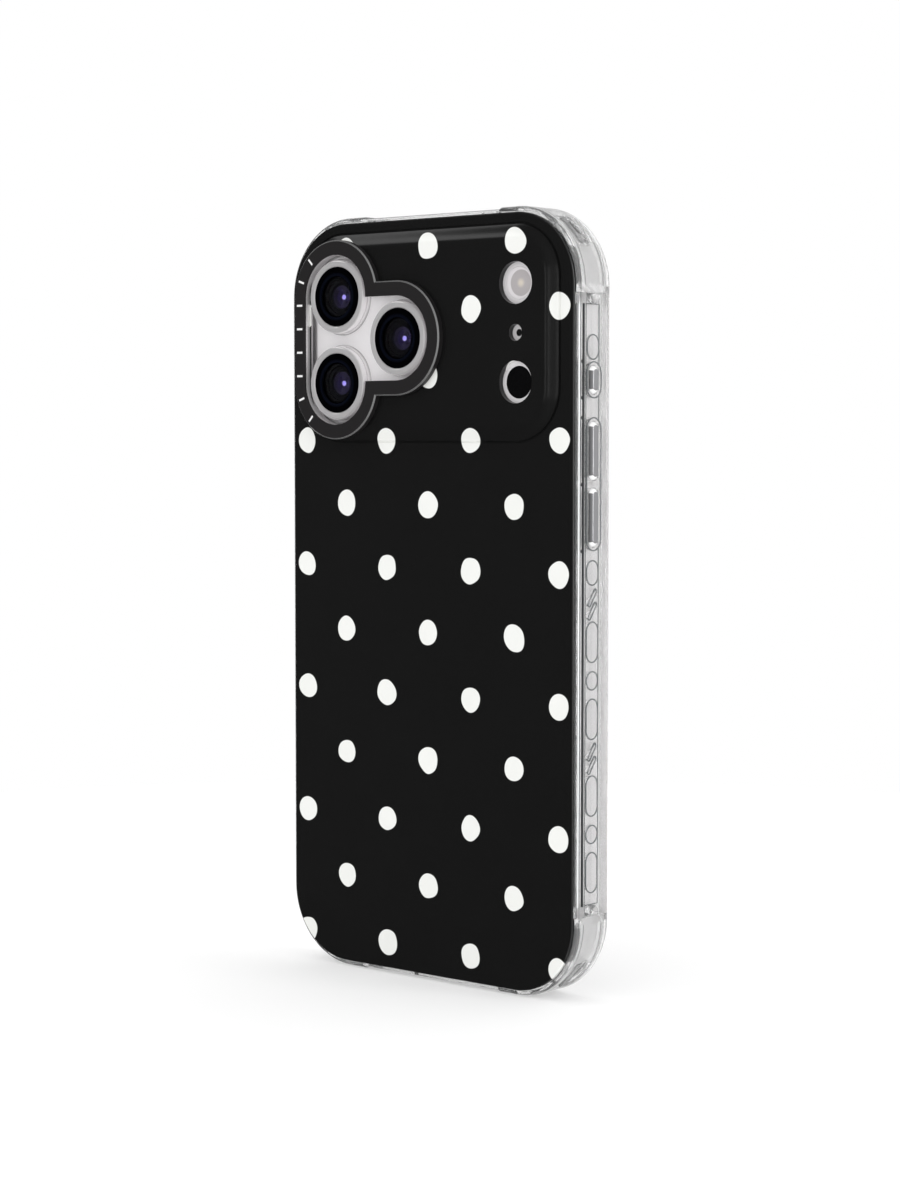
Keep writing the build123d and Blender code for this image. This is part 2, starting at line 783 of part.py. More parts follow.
def make_coil():
    outer = magnet_ring_inner - coil_gap
    ring = Circle(outer) - Circle(outer - coil_width)
    return slab(ring, magnet_back_y, magnet_back_y + coil_thickness, 0, magnet_height())


def inner_box(x, z, start, end, width, height, corner=0.0):
    """A piece inside the phone, start and end counted from the phone's back."""
    sketch = RectangleRounded(width, height, corner) if corner else Rectangle(width, height)
    return slab(sketch, phone_back_y + start, phone_back_y + end, x, z)


def bottom_corner_place(side, height):
    """Middle and width of a box between the charging port and a bottom corner of the housing."""
    across, up = bottom_row_inset
    start, end = port_shell_width / 2 + port_side_gap, cavity_x - across
    return side * (start + end) / 2, up + height / 2 - cavity_z, end - start


def make_loudspeaker():
    x, z, width = bottom_corner_place(1, loudspeaker_height)
    return inner_box(x, z, 1.8, inside_front - 0.5, width, loudspeaker_height, 1.5)


def make_battery():
    """Between the row at the bottom and the cameras, clear of the key switches."""
    row_top = bottom_row_inset[1] + max(haptic_height, loudspeaker_height) - cavity_z
    bottom, top = row_top + battery_end_gap, plateau_foot - battery_end_gap
    width, height = 2 * (cavity_x - battery_side_gap), top - bottom
    return inner_box(0, (top + bottom) / 2, 1.7, inside_front, width, height, 2.0)


def board_place(inset):
    """Middle and width of the main board, beside the middle camera."""
    start = lenses["middle"][0] + camera_can_width / 2 + board_camera_gap + inset
    end = cavity_x - board_side_gap - inset
    return (start + end) / 2, end - start


def make_main_board():
    x, width = board_place(0.0)
    return inner_box(x, plateau_centre - 0.5, 2.0, 2.8, width, 38.0, 1.0)


def make_board_shields():
    x, width = board_place(2.0)
    middle = plateau_centre - 0.5
    return [inner_box(x, middle + up, 2.85, 4.4, width, 15.0, 0.8) for up in (-9.0, 9.0)]


def top_module(x, below_top, width, height, corner):
    """A piece of the row behind the top of the screen."""
    z = phone_height / 2 - below_top
    return inner_box(x, z, inside_front - 1.7, inside_front, width, height, corner)


def make_haptic():
    """The can of the tapping motor, and the weight that slides in it along X."""
    x, z, width = bottom_corner_place(-1, haptic_height)
    back, front = 1.8, inside_front - 0.5
    inner_width, inner_height = width - 2 * haptic_wall, haptic_height - 2 * haptic_wall
    can = inner_box(x, z, back, front, width, haptic_height, 1.0)
    can -= inner_box(x, z, back + haptic_wall, front - haptic_wall, inner_width, inner_height)
    weight = inner_box(
        x, z, back + haptic_wall + 0.3, front - haptic_wall - 0.3,
        inner_width - 2 * (haptic_travel + haptic_clearance), inner_height - 0.6, 0.8,
    )
    return can, weight


# ---- build and write ---------------------------------------------------------------------------
def build():
    parts = {
        "back_panel": make_back_panel(),
        "bumper": make_bumper(),
        "front_lip": make_lip(),
        "camera_ring": make_camera_ring(),
        "camera_collar": make_camera_collar(),
        "ring_marks": [mark(*place) for place in mark_places()],
        "phone_housing": make_housing(),
        "rear_glass": make_rear_glass(),
        "display_glass": make_display_glass(),
        "display_panel": make_display_panel(),
        "lens_baffles": [make_lens_baffle(*p) for p in lenses.values()],
        "image_sensors": [make_image_sensor(*p) for p in lenses.values()],
        "flash_diffuser": make_window(flash_height, flash_diameter),
        "depth_sensor_window": make_window(depth_sensor_height, flash_diameter),
        "rear_microphone_mesh": make_window(microphone_height, microphone_diameter),
        "button_switches": [make_switch(side, z) for side, z, _ in keys.values()],
        "port_shell": make_port_shell(),
        "port_tongue": make_port_tongue(),
        "bottom_screws": [make_screw(x) for x in (-screw_offset, screw_offset)],
        "magnet_ring": make_magnets(),
        "charging_coil": make_coil(),
        "battery": make_battery(),
        "main_board": make_main_board(),
        "board_shields": make_board_shields(),
        "loudspeaker": make_loudspeaker(),
        "earpiece_speaker": top_module(0, 3.4, 14.0, 1.6, 0.5),
        "front_camera": top_module(4.5, 8.1, 6.5, 6.5, 1.0),
        "face_sensor": top_module(-5.5, 8.1, 8.0, 5.0, 0.8),
    }
    parts["haptic_case"], parts["haptic_weight"] = make_haptic()
    for name, place in lenses.items():
        parts[f"lens_ring_{name}"] = make_lens_ring(*place)
        parts[f"lens_glass_{name}"] = make_lens_glass(*place)
        parts[f"lens_barrel_{name}"] = make_barrel(*place)
        parts[f"lens_element_{name}"] = make_element(*place)
        parts[f"camera_can_{name}"] = make_camera_can(*place)
    for name, (sx, sz) in corners.items():
        parts[f"corner_cushion_{name}"] = make_cushion(sx, sz)
    for name, (side, z, length) in keys.items():
        parts[f"{name}_cover"] = make_cover(side, z, length)
        parts[f"{name}_key"] = make_key(side, z, length)
    return parts


def solids_of(piece):
    items = piece if isinstance(piece, list) else [piece]
    return [solid for item in items for solid in item.solids()]


os.makedirs("parts", exist_ok=True)
for node, piece in build().items():
    found = solids_of(piece)
    export_step(found[0] if len(found) == 1 else Compound(found), f"parts/{node}.step")
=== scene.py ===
"""A large phone in its spotted case with clear edges, on a pale floor in soft studio light.

Lengths are in metres, and MM turns a size in millimetres into metres. X runs across the back, Y
from the back of the case to the screen, Z up.
"""

from math import asin, cos, pi, radians, sin

import bmesh
import bpy
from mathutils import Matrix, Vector
from mathutils.geometry import delaunay_2d_cdt


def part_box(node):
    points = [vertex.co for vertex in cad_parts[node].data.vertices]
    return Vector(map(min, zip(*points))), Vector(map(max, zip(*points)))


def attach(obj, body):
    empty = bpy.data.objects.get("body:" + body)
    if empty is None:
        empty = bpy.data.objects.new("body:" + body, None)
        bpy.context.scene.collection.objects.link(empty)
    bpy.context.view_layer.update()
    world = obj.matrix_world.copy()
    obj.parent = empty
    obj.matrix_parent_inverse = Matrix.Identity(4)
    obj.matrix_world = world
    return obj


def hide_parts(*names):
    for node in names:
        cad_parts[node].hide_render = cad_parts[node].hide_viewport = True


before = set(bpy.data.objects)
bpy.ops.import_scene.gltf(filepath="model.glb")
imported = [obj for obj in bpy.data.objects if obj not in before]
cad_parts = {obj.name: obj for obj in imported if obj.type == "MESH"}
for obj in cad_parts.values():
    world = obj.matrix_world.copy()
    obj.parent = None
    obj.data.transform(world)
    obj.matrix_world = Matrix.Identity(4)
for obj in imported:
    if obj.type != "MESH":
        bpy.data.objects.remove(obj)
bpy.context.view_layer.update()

MM = 0.001

# ---- places, worked out from the frame ---------------------------------------------------------
housing_low, housing_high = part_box("phone_housing")
panel_low, panel_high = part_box("back_panel")

panel_thickness = 1.2 * MM
middle_z = (housing_low[2] + housing_high[2]) / 2
phone_half_x = housing_high[0]
phone_half_z = (housing_high[2] - housing_low[2]) / 2
phone_front_y = housing_high[1]
plateau_y = housing_low[1]
panel_inner_y = panel_high[1]
back_y = panel_inner_y - panel_thickness
hill_top_y = panel_low[1]


def middle_of(node):
    low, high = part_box(node)
    return [(a + b) / 2 for a, b in zip(low, high)]


# ---- sizes -------------------------------------------------------------------------------------
phone_corner = 14.2 * MM
screen_corner = 11.5 * MM
panel_reach = 1.8 * MM
panel_edge_round = 0.35 * MM
plateau_height = 42.6 * MM
plateau_below_top = 2.5 * MM                     # phone's top to the plateau's top
hill_foot = (75.0 * MM, 46.9 * MM, 12.0 * MM)    # width, height, corner
hill_slope = 4.0 * MM
hill_steps = 24
foot_groove = ((0.0, 0.0), (0.08 * MM, 0.22 * MM), (0.36 * MM, 0.22 * MM), (0.46 * MM, 0.0))
touch_gap = 0.015 * MM                           # kept between two clear pieces that touch
window_margin = 1.05 * MM

cushion_reach = 3.1 * MM                         # cushion's outside beyond the phone's side
pocket_rim = (4.6 * MM, 1.75 * MM)               # half length and half width of the rim
bezel_width = 0.8 * MM
rail_out = 2.6 * MM                              # rail's outside beyond the phone's side
wall_out = 2.0 * MM                              # channel floor beyond the phone's side
relief_out = 2.45 * MM                           # raised shapes on it
bezel_out = 2.75 * MM                            # raised frames round the covers
channel_y = (-0.5 * MM, 4.3 * MM)
channel_end = 18.0 * MM                          # from the phone's end to a cushion's tongue
relief_width = 3.9 * MM
relief_pad = 8.6 * MM
relief_short_pad = 5.2 * MM
relief_step = 8.2 * MM                           # stud to pad
relief_gap = (0.5 * MM, 2.6 * MM)                # before the first shape, and at the bottom end
rib_size = (4.3 * MM, 0.9 * MM)
rib_places = (2.3 * MM, 5.1 * MM)
rib_stretch = 7.8 * MM                           # length that two ribs take
# radius of the grey beads along the channel's moulded edges, which are painted shade
edge_bead = 0.15 * MM
# lines along the rails: beyond the phone's side, in front of the case's back, radius
# the pale beads are painted highlights, the thin, groove and dark beads painted shade
highlight_line = (2.5 * MM, 1.0 * MM, 0.18 * MM)
thin_shade_line = (2.6 * MM, 1.4 * MM, 0.07 * MM)
groove_shade_line = (2.6 * MM, 2.35 * MM, 0.3 * MM)
corner_shade_lines = ((2.9 * MM, 2.5 * MM, 0.08 * MM), (2.9 * MM, 8.5 * MM, 0.08 * MM))
corner_highlight_lines = ((2.9 * MM, 1.8 * MM, 0.16 * MM), (2.9 * MM, 9.1 * MM, 0.14 * MM))
corner_line_steps = 20
contact_pitch = 0.5 * MM
contacts_in_row = 12
speaker_first = 12.9 * MM
speaker_pitch = 1.9 * MM
speakers_each_side = 4
speaker_bore = 0.7 * MM

# ---- spots -------------------------------------------------------------------------------------
spot_column = 12.3 * MM
spot_row = 14.09 * MM
spot_first = (-36.7 * MM, 35.0 * MM)             # from the panel's middle
spot_diameter = 5.45 * MM
print_drift = 0.89                               # how far the film slides to +X for its height

# ---- small features, sizes in millimetres where the shader measures them -----------------------
buffing_line = 0.25
mould_texture = 0.3
ink_starts = (4.55, 4.65)                        # from the lens's axis
ink_tone_starts = (4.3, 4.45)
# where the ink's painted blue sheen begins, and where it is full
ink_painted_sheen_ends = (5.5, 4.7)

lens_ring_radius = 8.2 * MM
lens_ring_roll = 0.55 * MM
lens_ring_flare = 0.4 * MM
lens_ring_foot = 1.2 * MM                        # width of its hidden foot
# the bevel at the glass and the groove near the foot, as (inwards or outwards, deep)
lens_ring_bevel = (
    (0.0, 0.3 * MM), (0.04 * MM, 0.24 * MM), (0.26 * MM, 0.03 * MM), (0.34 * MM, 0.0)
)
lens_ring_groove = (
    (0.0, 0.95 * MM), (0.25 * MM, 0.87 * MM), (0.25 * MM, 0.7 * MM), (0.0, 0.62 * MM)
)
island_middle = -0.4 * MM                        # camera island on the screen
island_half = 6.6 * MM                           # half of its straight length
island_radius = 3.1
front_lens_fade = (2.0, 1.2)
screen_edge_blur = 0.05
glass_clearance = 0.02 * MM
lens_axis_hole = 0.002 * MM                      # keeps a spun face from closing to a point
dish_share = 0.72                                # dish's radius in the lens's own
dish_depth = 0.42 * MM
holder_step = 0.13 * MM
inner_lens_radius = 0.85 * MM
inner_lens_rise = 0.6 * MM
inner_lens_place = 0.8 * MM                      # foot below the holder's front
inner_lens_edge = 0.05 * MM
# key cover's section from the outline inwards: (in, below the top)
cover_section = (
    (0.0, 0.75 * MM), (0.04 * MM, 0.66 * MM), (0.62 * MM, 0.08 * MM), (0.70 * MM, 0.03 * MM),
    (0.85 * MM, 0.0),
)
pocket_off_middle = 0.7 * MM
pocket_sunk = 0.05 * MM
pocket_bead = 0.22 * MM
rib_lean = -35                                   # degrees
contact_up = 2.2 * MM
contact_size = (0.25 * MM, 0.06 * MM, 2.6 * MM)
speaker_rim = 0.1 * MM
# dark rings on the rails beside each frame: painted shade of small notches
pip_radius = 0.3 * MM
pip_bead = 0.14 * MM
pip_deep = 2.05 * MM                             # from the case's back to the rail's middle
floor_radius = 0.34

# ---- camera ------------------------------------------------------------------------------------
view_azimuth = 41.09                             # degrees, from straight behind towards +X
view_drop = 3.60                                 # degrees looking down
view_place = (386.8 * MM, -436.0 * MM, 36.6 * MM)    # from the middle of the case's back
view_lens = 79.56

crease_angle = 32                                # degrees between faces from which an edge is sharp


# ---- mesh helpers ------------------------------------------------------------------------------
def mesh_object(name, build, smooth=True):
    """Makes an object from a function that fills a bmesh, with its faces turned outwards."""
    bm = bmesh.new()
    build(bm)
    bmesh.ops.remove_doubles(bm, verts=bm.verts, dist=0.002 * MM)
    bmesh.ops.recalc_face_normals(bm, faces=bm.faces)
    mesh = bpy.data.meshes.new(name)
    bm.to_mesh(mesh)
    bm.free()
    return as_object(name, mesh, smooth)


def as_object(name, mesh, smooth=True):
    """Puts a mesh in the scene, smooth apart from its creases."""
    for face in mesh.polygons:
        face.use_smooth = smooth
    mesh.set_sharp_from_angle(angle=radians(crease_angle))
    obj = bpy.data.objects.new(name, mesh)
    bpy.context.scene.collection.objects.link(obj)
    return obj


def rounded_rectangle(width, height, corner, steps=20):
    """Points round a rounded rectangle, anticlockwise from the right side's lower corner."""
    points = []
    for quarter, (sx, sz) in enumerate(((1, 1), (-1, 1), (-1, -1), (1, -1))):
        cx, cz = sx * (width / 2 - corner), sz * (height / 2 - corner)
        for i in range(steps + 1):
            turn = (quarter + i / steps) * pi / 2
            points.append((cx + corner * cos(turn), cz + corner * sin(turn)))
    return points


def circle(x, z, radius, count=72):
    turns = [2 * pi * i / count for i in range(count)]
    return [(x + radius * cos(t), z + radius * sin(t)) for t in turns]


def strip(bm, ring_a, ring_b):
    """Quads between two closed rows of vertices of the same length."""
    count = len(ring_a)
    for i in range(count):
        j = (i + 1) % count
        bm.faces.new((ring_a[i], ring_a[j], ring_b[j], ring_b[i]))


def closed_row(bm, points):
    """Edges round a closed row of points, as a path for a bead."""
    row = [bm.verts.new(point) for point in points]
    for a, b in zip(row, row[1:] + row[:1]):
        bm.edges.new((a, b))


def loft(bm, rings, cap_start=True, cap_end=True):
    """A skin over closed rows of points, with flat caps."""
    rows = [[bm.verts.new(p) for p in ring] for ring in rings]
    for a, b in zip(rows, rows[1:]):
        strip(bm, a, b)
    if cap_start:
        bm.faces.new(rows[0][::-1])
    if cap_end:
        bm.faces.new(rows[-1])
    return rows


def sheet_between(bm, outer, holes, height):
    """Fills the flat area between an outline and its holes. height gives Y at (x, z)."""
    points, edges, start = [], [], 0
    for loop in [outer] + holes:
        count = len(loop)
        points += [Vector(p) for p in loop]
        edges += [(start + i, start + (i + 1) % count) for i in range(count)]
        start += count
    found, _, faces, _, _, _ = delaunay_2d_cdt(points, edges, [], 1, 1e-7)
    verts = [bm.verts.new((p.x, height(p.x, p.y), p.y)) for p in found]
    for face in faces:
        middle = sum((found[i] for i in face), Vector((0, 0))) / len(face)
        if not any(inside(middle, hole) for hole in holes):
            bm.faces.new([verts[i] for i in face])


def inside(point, loop):
    """Whether a point lies inside a closed row of points."""
    hit = False
    for (x1, z1), (x2, z2) in zip(loop, loop[1:] + loop[:1]):
        if (z1 > point[1]) != (z2 > point[1]):
            if point[0] < (x2 - x1) * (point[1] - z1) / (z2 - z1) + x1:
                hit = not hit
    return hit


def lathe(bm, profile, x, z, count=128):
    """Spins a closed profile of (radius, Y) points about a line along Y."""
    turns = [2 * pi * i / count for i in range(count)]
    rows = [[bm.verts.new((x + r * cos(t), y, z + r * sin(t))) for t in turns] for r, y in profile]
    for a, b in zip(rows, rows[1:] + rows[:1]):
        strip(bm, a, b)


# ---- materials ---------------------------------------------------------------------------------
def srgb(code):
    """An sRGB hex value as a linear colour."""
    parts = [int(code[i:i + 2], 16) / 255 for i in (1, 3, 5)]
    return [c / 12.92 if c <= 0.04045 else ((c + 0.055) / 1.055) ** 2.4 for c in parts] + [1.0]


RGBA = {"data_type": "RGBA"}
SMOOTH = {"interpolation_type": "SMOOTHSTEP"}


def add(tree, kind, settings=None, **inputs):
    """Adds a node: kind is its type, without the ShaderNode that a shader's types begin with.

    settings are its own, or the name of its operation. inputs are its sockets by name, or by i and
    their number, each a value or another node's socket.
    """
    made = tree.nodes.new(kind if "Node" in kind else f"ShaderNode{kind}")
    if isinstance(settings, str):
        settings = {"operation": settings}
    for key, value in (settings or {}).items():
        setattr(made, key, value)
    for key, value in inputs.items():
        place = int(key[1:]) if key[1:].isdigit() else key.replace("_", " ")
        if isinstance(value, bpy.types.NodeSocket):
            tree.links.new(value, made.inputs[place])
        else:
            made.inputs[place].default_value = value
    return made


def new_material(name):
    """A material with its shader, and the place on the object in millimetres."""
    mat = bpy.data.materials.new(name)
    mat.use_nodes = True
    tree = mat.node_tree
    tree.nodes.clear()
    shader = add(tree, "BsdfPrincipled")
    add(tree, "OutputMaterial", Surface=shader.outputs[0])
    place = add(tree, "TexCoord")
    scale = add(tree, "VectorMath", "SCALE", i0=place.outputs["Object"], Scale=1 / MM)
    return mat, tree, shader, scale.outputs[0]


def finish(tree, shader, **sockets):
    """Sets the shader's sockets, each to a value or to another node's socket."""
    for key, value in sockets.items():
        socket = shader.inputs[key.replace("_", " ")]
        if isinstance(value, bpy.types.NodeSocket):
            tree.links.new(value, socket)
        else:
            socket.default_value = value


def uneven(tree, place, size_mm, low, high):
    """A value that wanders between low and high in patches about size_mm across."""
    noise = add(tree, "TexNoise", Vector=place, Scale=1 / size_mm)
    return add(tree, "MapRange", Value=noise.outputs["Fac"], To_Min=low, To_Max=high).outputs[0]


def spot_mask(tree, place):
    """1 inside the printed spots. Each spot has its own size and wavering edge.

    The printed film slides sideways a little as it is drawn over the raised area.
    """
    height = add(tree, "SeparateXYZ", Vector=place).outputs["Y"]
    drift = add(
        tree, "Math", "MULTIPLY_ADD", i0=height, i1=print_drift, i2=-print_drift * back_y / MM,
    ).outputs[0]
    sideways = add(tree, "CombineXYZ", X=drift).outputs[0]
    level = add(
        tree, "VectorMath", "MULTIPLY_ADD", i0=place, i1=(1.0, 0.0, 1.0), i2=sideways,
    ).outputs[0]
    wobble = add(tree, "TexNoise", Vector=level, Scale=0.22, Detail=0.0)
    shift = add(
        tree, "VectorMath", "MULTIPLY_ADD", i0=wobble.outputs["Color"], i1=(0.9, 0.0, 0.9),
        i2=(-0.45, 0.0, -0.45),
    )
    bent = add(tree, "VectorMath", "ADD", i0=level, i1=shift.outputs[0]).outputs[0]
    masks = []
    for half in (0, 1):
        x0 = (spot_first[0] + half * spot_column) / MM
        z0 = (spot_first[1] - half * spot_row + middle_z) / MM
        step = (2 * spot_column / MM, 1000.0, 2 * spot_row / MM)
        moved = add(
            tree, "VectorMath", "SUBTRACT", i0=bent, i1=(x0 - step[0] / 2, 0.0, z0 - step[2] / 2),
        ).outputs[0]
        cell = add(tree, "VectorMath", "DIVIDE", i0=moved, i1=step).outputs[0]
        number = add(tree, "VectorMath", "FLOOR", i0=cell).outputs[0]
        chance = add(tree, "TexWhiteNoise", {"noise_dimensions": "3D"}, Vector=number)
        within = add(tree, "VectorMath", "FRACTION", i0=cell).outputs[0]
        offset = add(
            tree, "VectorMath", "MULTIPLY_ADD", i0=within, i1=step,
            i2=(-step[0] / 2, 0.0, -step[2] / 2),
        ).outputs[0]
        flat = add(tree, "VectorMath", "MULTIPLY", i0=offset, i1=(1.0, 0.0, 0.97)).outputs[0]
        reach = add(tree, "VectorMath", "LENGTH", i0=flat).outputs["Value"]
        radius = add(
            tree, "MapRange", Value=chance.outputs["Value"], To_Min=spot_diameter / 2 / MM - 0.12,
            To_Max=spot_diameter / 2 / MM + 0.12,
        ).outputs[0]
        gap = add(tree, "Math", "SUBTRACT", i0=radius, i1=reach)
        masks.append(
            add(
                tree, "MapRange", SMOOTH, Value=gap.outputs[0], From_Min=-0.06, From_Max=0.06,
            ).outputs[0],
        )
    return add(tree, "Math", "MAXIMUM", i0=masks[0], i1=masks[1]).outputs[0]


def spotted_polycarbonate():
    """Injection-moulded polycarbonate, printed in ink under a gloss lacquer: black, milky spots."""
    mat, tree, shader, place = new_material("printed_polycarbonate")
    mask = spot_mask(tree, place)
    cloud = add(tree, "TexNoise", Vector=place, Scale=1 / 9.0, Detail=3.0).outputs["Fac"]
    black = add(tree, "Mix", RGBA, i0=cloud, i6=srgb("#121212"), i7=srgb("#151515")).outputs[2]
    white = add(tree, "Mix", RGBA, i0=cloud, i6=srgb("#F3F4F0"), i7=srgb("#FAFBF8")).outputs[2]
    colour = add(tree, "Mix", RGBA, i0=mask, i6=black, i7=white).outputs[2]
    finish(
        tree, shader, Base_Color=colour, Roughness=uneven(tree, place, 1.6, 0.16, 0.22),
        Specular_IOR_Level=0.5,
    )
    peel = add(tree, "TexNoise", Vector=place, Scale=1 / 1.1, Detail=1.0).outputs["Fac"]
    height = add(tree, "Math", "MULTIPLY_ADD", i0=mask, i1=0.6, i2=peel).outputs[0]
    finish(
        tree, shader,
        Normal=add(tree, "Bump", Strength=0.5, Distance=0.004 * MM, Height=height).outputs[0],
    )
    return mat


def clear_elastomer():
    """Clear thermoplastic polyurethane, moulded: soft, water-clear, with faint flow ripples and
    painted shade at grazing edges.
    """
    mat, tree, shader, place = new_material("clear_polyurethane")
    # grey towards grazing angles: painted shade for the dark lines that refraction draws in thick
    # clear plastic
    edge = add(tree, "LayerWeight", Blend=0.5).outputs["Facing"]
    rim = add(tree, "MapRange", SMOOTH, Value=edge, From_Min=0.72, From_Max=0.98).outputs[0]
    tone = add(tree, "Mix", RGBA, i0=rim, i6=srgb("#FFFFFF"), i7=srgb("#3C4042")).outputs[2]
    finish(
        tree, shader, Base_Color=tone, Roughness=uneven(tree, place, 2.5, 0.03, 0.07), IOR=1.38,
        Transmission_Weight=0.92, Coat_Weight=1.0, Coat_Roughness=0.03,
        Normal=add(
            tree, "Bump", Strength=0.2, Distance=0.03 * MM,
            Height=add(tree, "TexNoise", Vector=place, Scale=1 / 4.5, Detail=1.0).outputs["Fac"],
        ).outputs[0],
    )
    return mat


def anodised_black(name, colour, rim):
    """Black anodised aluminium with a diamond-cut chamfer that shows the bare metal."""
    mat, tree, shader, place = new_material(name)
    normal = add(tree, "TexCoord").outputs["Normal"]
    facing = add(tree, "SeparateXYZ", Vector=normal).outputs["Y"]
    lean = add(tree, "Math", "ADD", i0=facing, i1=0.72).outputs[0]
    away = add(tree, "Math", "ABSOLUTE", i0=lean).outputs[0]
    cut = add(tree, "MapRange", SMOOTH, Value=away, From_Min=0.22, From_Max=0.12).outputs[0]
    tone = add(tree, "Mix", RGBA, i0=cut, i6=srgb(colour), i7=srgb(rim)).outputs[2]
    finish(
        tree, shader, Base_Color=tone,
        Metallic=add(tree, "MapRange", Value=cut, To_Min=0.35, To_Max=0.8).outputs[0],
        Roughness=add(tree, "MapRange", Value=cut, To_Min=0.42, To_Max=0.22).outputs[0],
        Normal=add(
            tree, "Bump", Strength=0.4, Distance=0.003 * MM,
            Height=add(tree, "TexNoise", Vector=place, Scale=1 / 0.12, Detail=1.0).outputs["Fac"],
        ).outputs[0],
    )
    return mat


def blasted_aluminium(name, colour, metallic, roughness):
    """Aluminium blasted with fine beads and anodised: a soft, even, faintly sparkling silver."""
    mat, tree, shader, place = new_material(name)
    fleck = add(tree, "TexNoise", Vector=place, Scale=1 / 0.16).outputs["Fac"]
    tone = add(tree, "Mix", RGBA, i0=fleck, i6=srgb(colour), i7=srgb("#F4F2F3")).outputs[2]
    finish(
        tree, shader, Base_Color=tone, Metallic=metallic,
        Roughness=uneven(tree, place, 0.4, roughness - 0.05, roughness + 0.05),
        Normal=add(tree, "Bump", Strength=0.35, Distance=0.004 * MM, Height=fleck).outputs[0],
    )
    return mat


def satin_body(name):
    """Anodised aluminium body: its back is blasted pale, its sides are a cooler satin silver."""
    mat, tree, shader, place = new_material(name)
    fleck = add(tree, "TexNoise", Vector=place, Scale=1 / 0.16).outputs["Fac"]
    normal = add(tree, "TexCoord").outputs["Normal"]
    facing = add(tree, "SeparateXYZ", Vector=normal).outputs["Y"]
    back = add(tree, "MapRange", SMOOTH, Value=facing, From_Min=-0.35, From_Max=-0.8).outputs[0]
    pale = add(tree, "Mix", RGBA, i0=fleck, i6=srgb("#F0EDEF"), i7=srgb("#F8F6F7")).outputs[2]
    satin = add(tree, "Mix", RGBA, i0=fleck, i6=srgb("#F0EEEF"), i7=srgb("#F6F4F5")).outputs[2]
    tone = add(tree, "Mix", RGBA, i0=back, i6=satin, i7=pale).outputs[2]
    finish(
        tree, shader, Base_Color=tone,
        Metallic=add(tree, "MapRange", Value=back, To_Min=0.3, To_Max=0.1).outputs[0],
        Roughness=uneven(tree, place, 0.4, 0.3, 0.4),
        Normal=add(tree, "Bump", Strength=0.35, Distance=0.004 * MM, Height=fleck).outputs[0],
    )
    return mat


def polished_metal(name, colour, roughness, metallic=1.0):
    """Polished metal with the faint fine lines that the buffing wheel leaves."""
    mat, tree, shader, place = new_material(name)
    lines = add(
        tree, "TexNoise", Vector=place, Scale=1 / buffing_line, Detail=3.0, Roughness=0.6,
    ).outputs["Fac"]
    finish(
        tree, shader, Base_Color=srgb(colour), Metallic=metallic,
        Roughness=add(
            tree, "MapRange", Value=lines, To_Min=roughness - 0.04, To_Max=roughness + 0.06,
        ).outputs[0],
        Normal=add(tree, "Bump", Strength=0.15, Distance=0.002 * MM, Height=lines).outputs[0],
    )
    return mat


def aluminium_with_painted_end_highlights(name, colour, cut):
    """Anodised aluminium, drawn lengthways, whose ends carry a painted white highlight."""
    mat, tree, shader, place = new_material(name)
    normal = add(tree, "TexCoord").outputs["Normal"]
    along = add(tree, "SeparateXYZ", Vector=normal).outputs["Z"]
    lean = add(tree, "Math", "ABSOLUTE", i0=along).outputs[0]
    # the ends turn white and hardly metallic: a painted highlight
    ends = add(tree, "MapRange", SMOOTH, Value=lean, From_Min=0.3, From_Max=0.36).outputs[0]
    lines = add(
        tree, "TexNoise", Vector=place, Scale=1 / 0.25, Detail=3.0, Roughness=0.6,
    ).outputs["Fac"]
    tone = add(tree, "Mix", RGBA, i0=ends, i6=srgb(colour), i7=srgb(cut)).outputs[2]
    finish(
        tree, shader, Base_Color=tone,
        Metallic=add(tree, "MapRange", Value=ends, To_Min=1.0, To_Max=0.15).outputs[0],
        Roughness=add(tree, "MapRange", Value=lines, To_Min=0.2, To_Max=0.3).outputs[0],
        Normal=add(tree, "Bump", Strength=0.15, Distance=0.002 * MM, Height=lines).outputs[0],
    )
    return mat


def moulded_plastic(name, colour, roughness, shine=0.3):
    """Moulded plastic with the fine spark-eroded texture of its tool."""
    mat, tree, shader, place = new_material(name)
    texture = add(
        tree, "TexNoise", Vector=place, Scale=1 / mould_texture, Detail=3.0,
    ).outputs["Fac"]
    tone = add(
        tree, "Mix", RGBA,
        i0=add(tree, "MapRange", Value=texture, To_Min=0.0, To_Max=0.06).outputs[0],
        i6=srgb(colour), i7=srgb("#808080"),
    ).outputs[2]
    finish(
        tree, shader, Base_Color=tone, Specular_IOR_Level=shine,
        Roughness=add(
            tree, "MapRange", Value=texture, To_Min=roughness - 0.06, To_Max=roughness + 0.06,
        ).outputs[0],
        Normal=add(tree, "Bump", Strength=0.3, Distance=0.01 * MM, Height=texture).outputs[0],
    )
    return mat


def hazy_glass(name, colour, transmission, roughness, bend=1.5):
    """Ground glass or clear plastic with a faint uneven haze, so its gloss isn't perfect."""
    mat, tree, shader, place = new_material(name)
    finish(
        tree, shader, Base_Color=srgb(colour), IOR=bend, Transmission_Weight=transmission,
        Roughness=uneven(tree, place, 2.0, roughness, roughness + 0.02),
    )
    return mat


def from_centre(tree, place, x, z):
    """Distance in millimetres from a line along Y through (x, z)."""
    moved = add(
        tree, "VectorMath", "MULTIPLY_ADD", i0=place, i1=(1.0, 0.0, 1.0),
        i2=(-x / MM, 0.0, -z / MM),
    ).outputs[0]
    return add(tree, "VectorMath", "LENGTH", i0=moved).outputs["Value"]


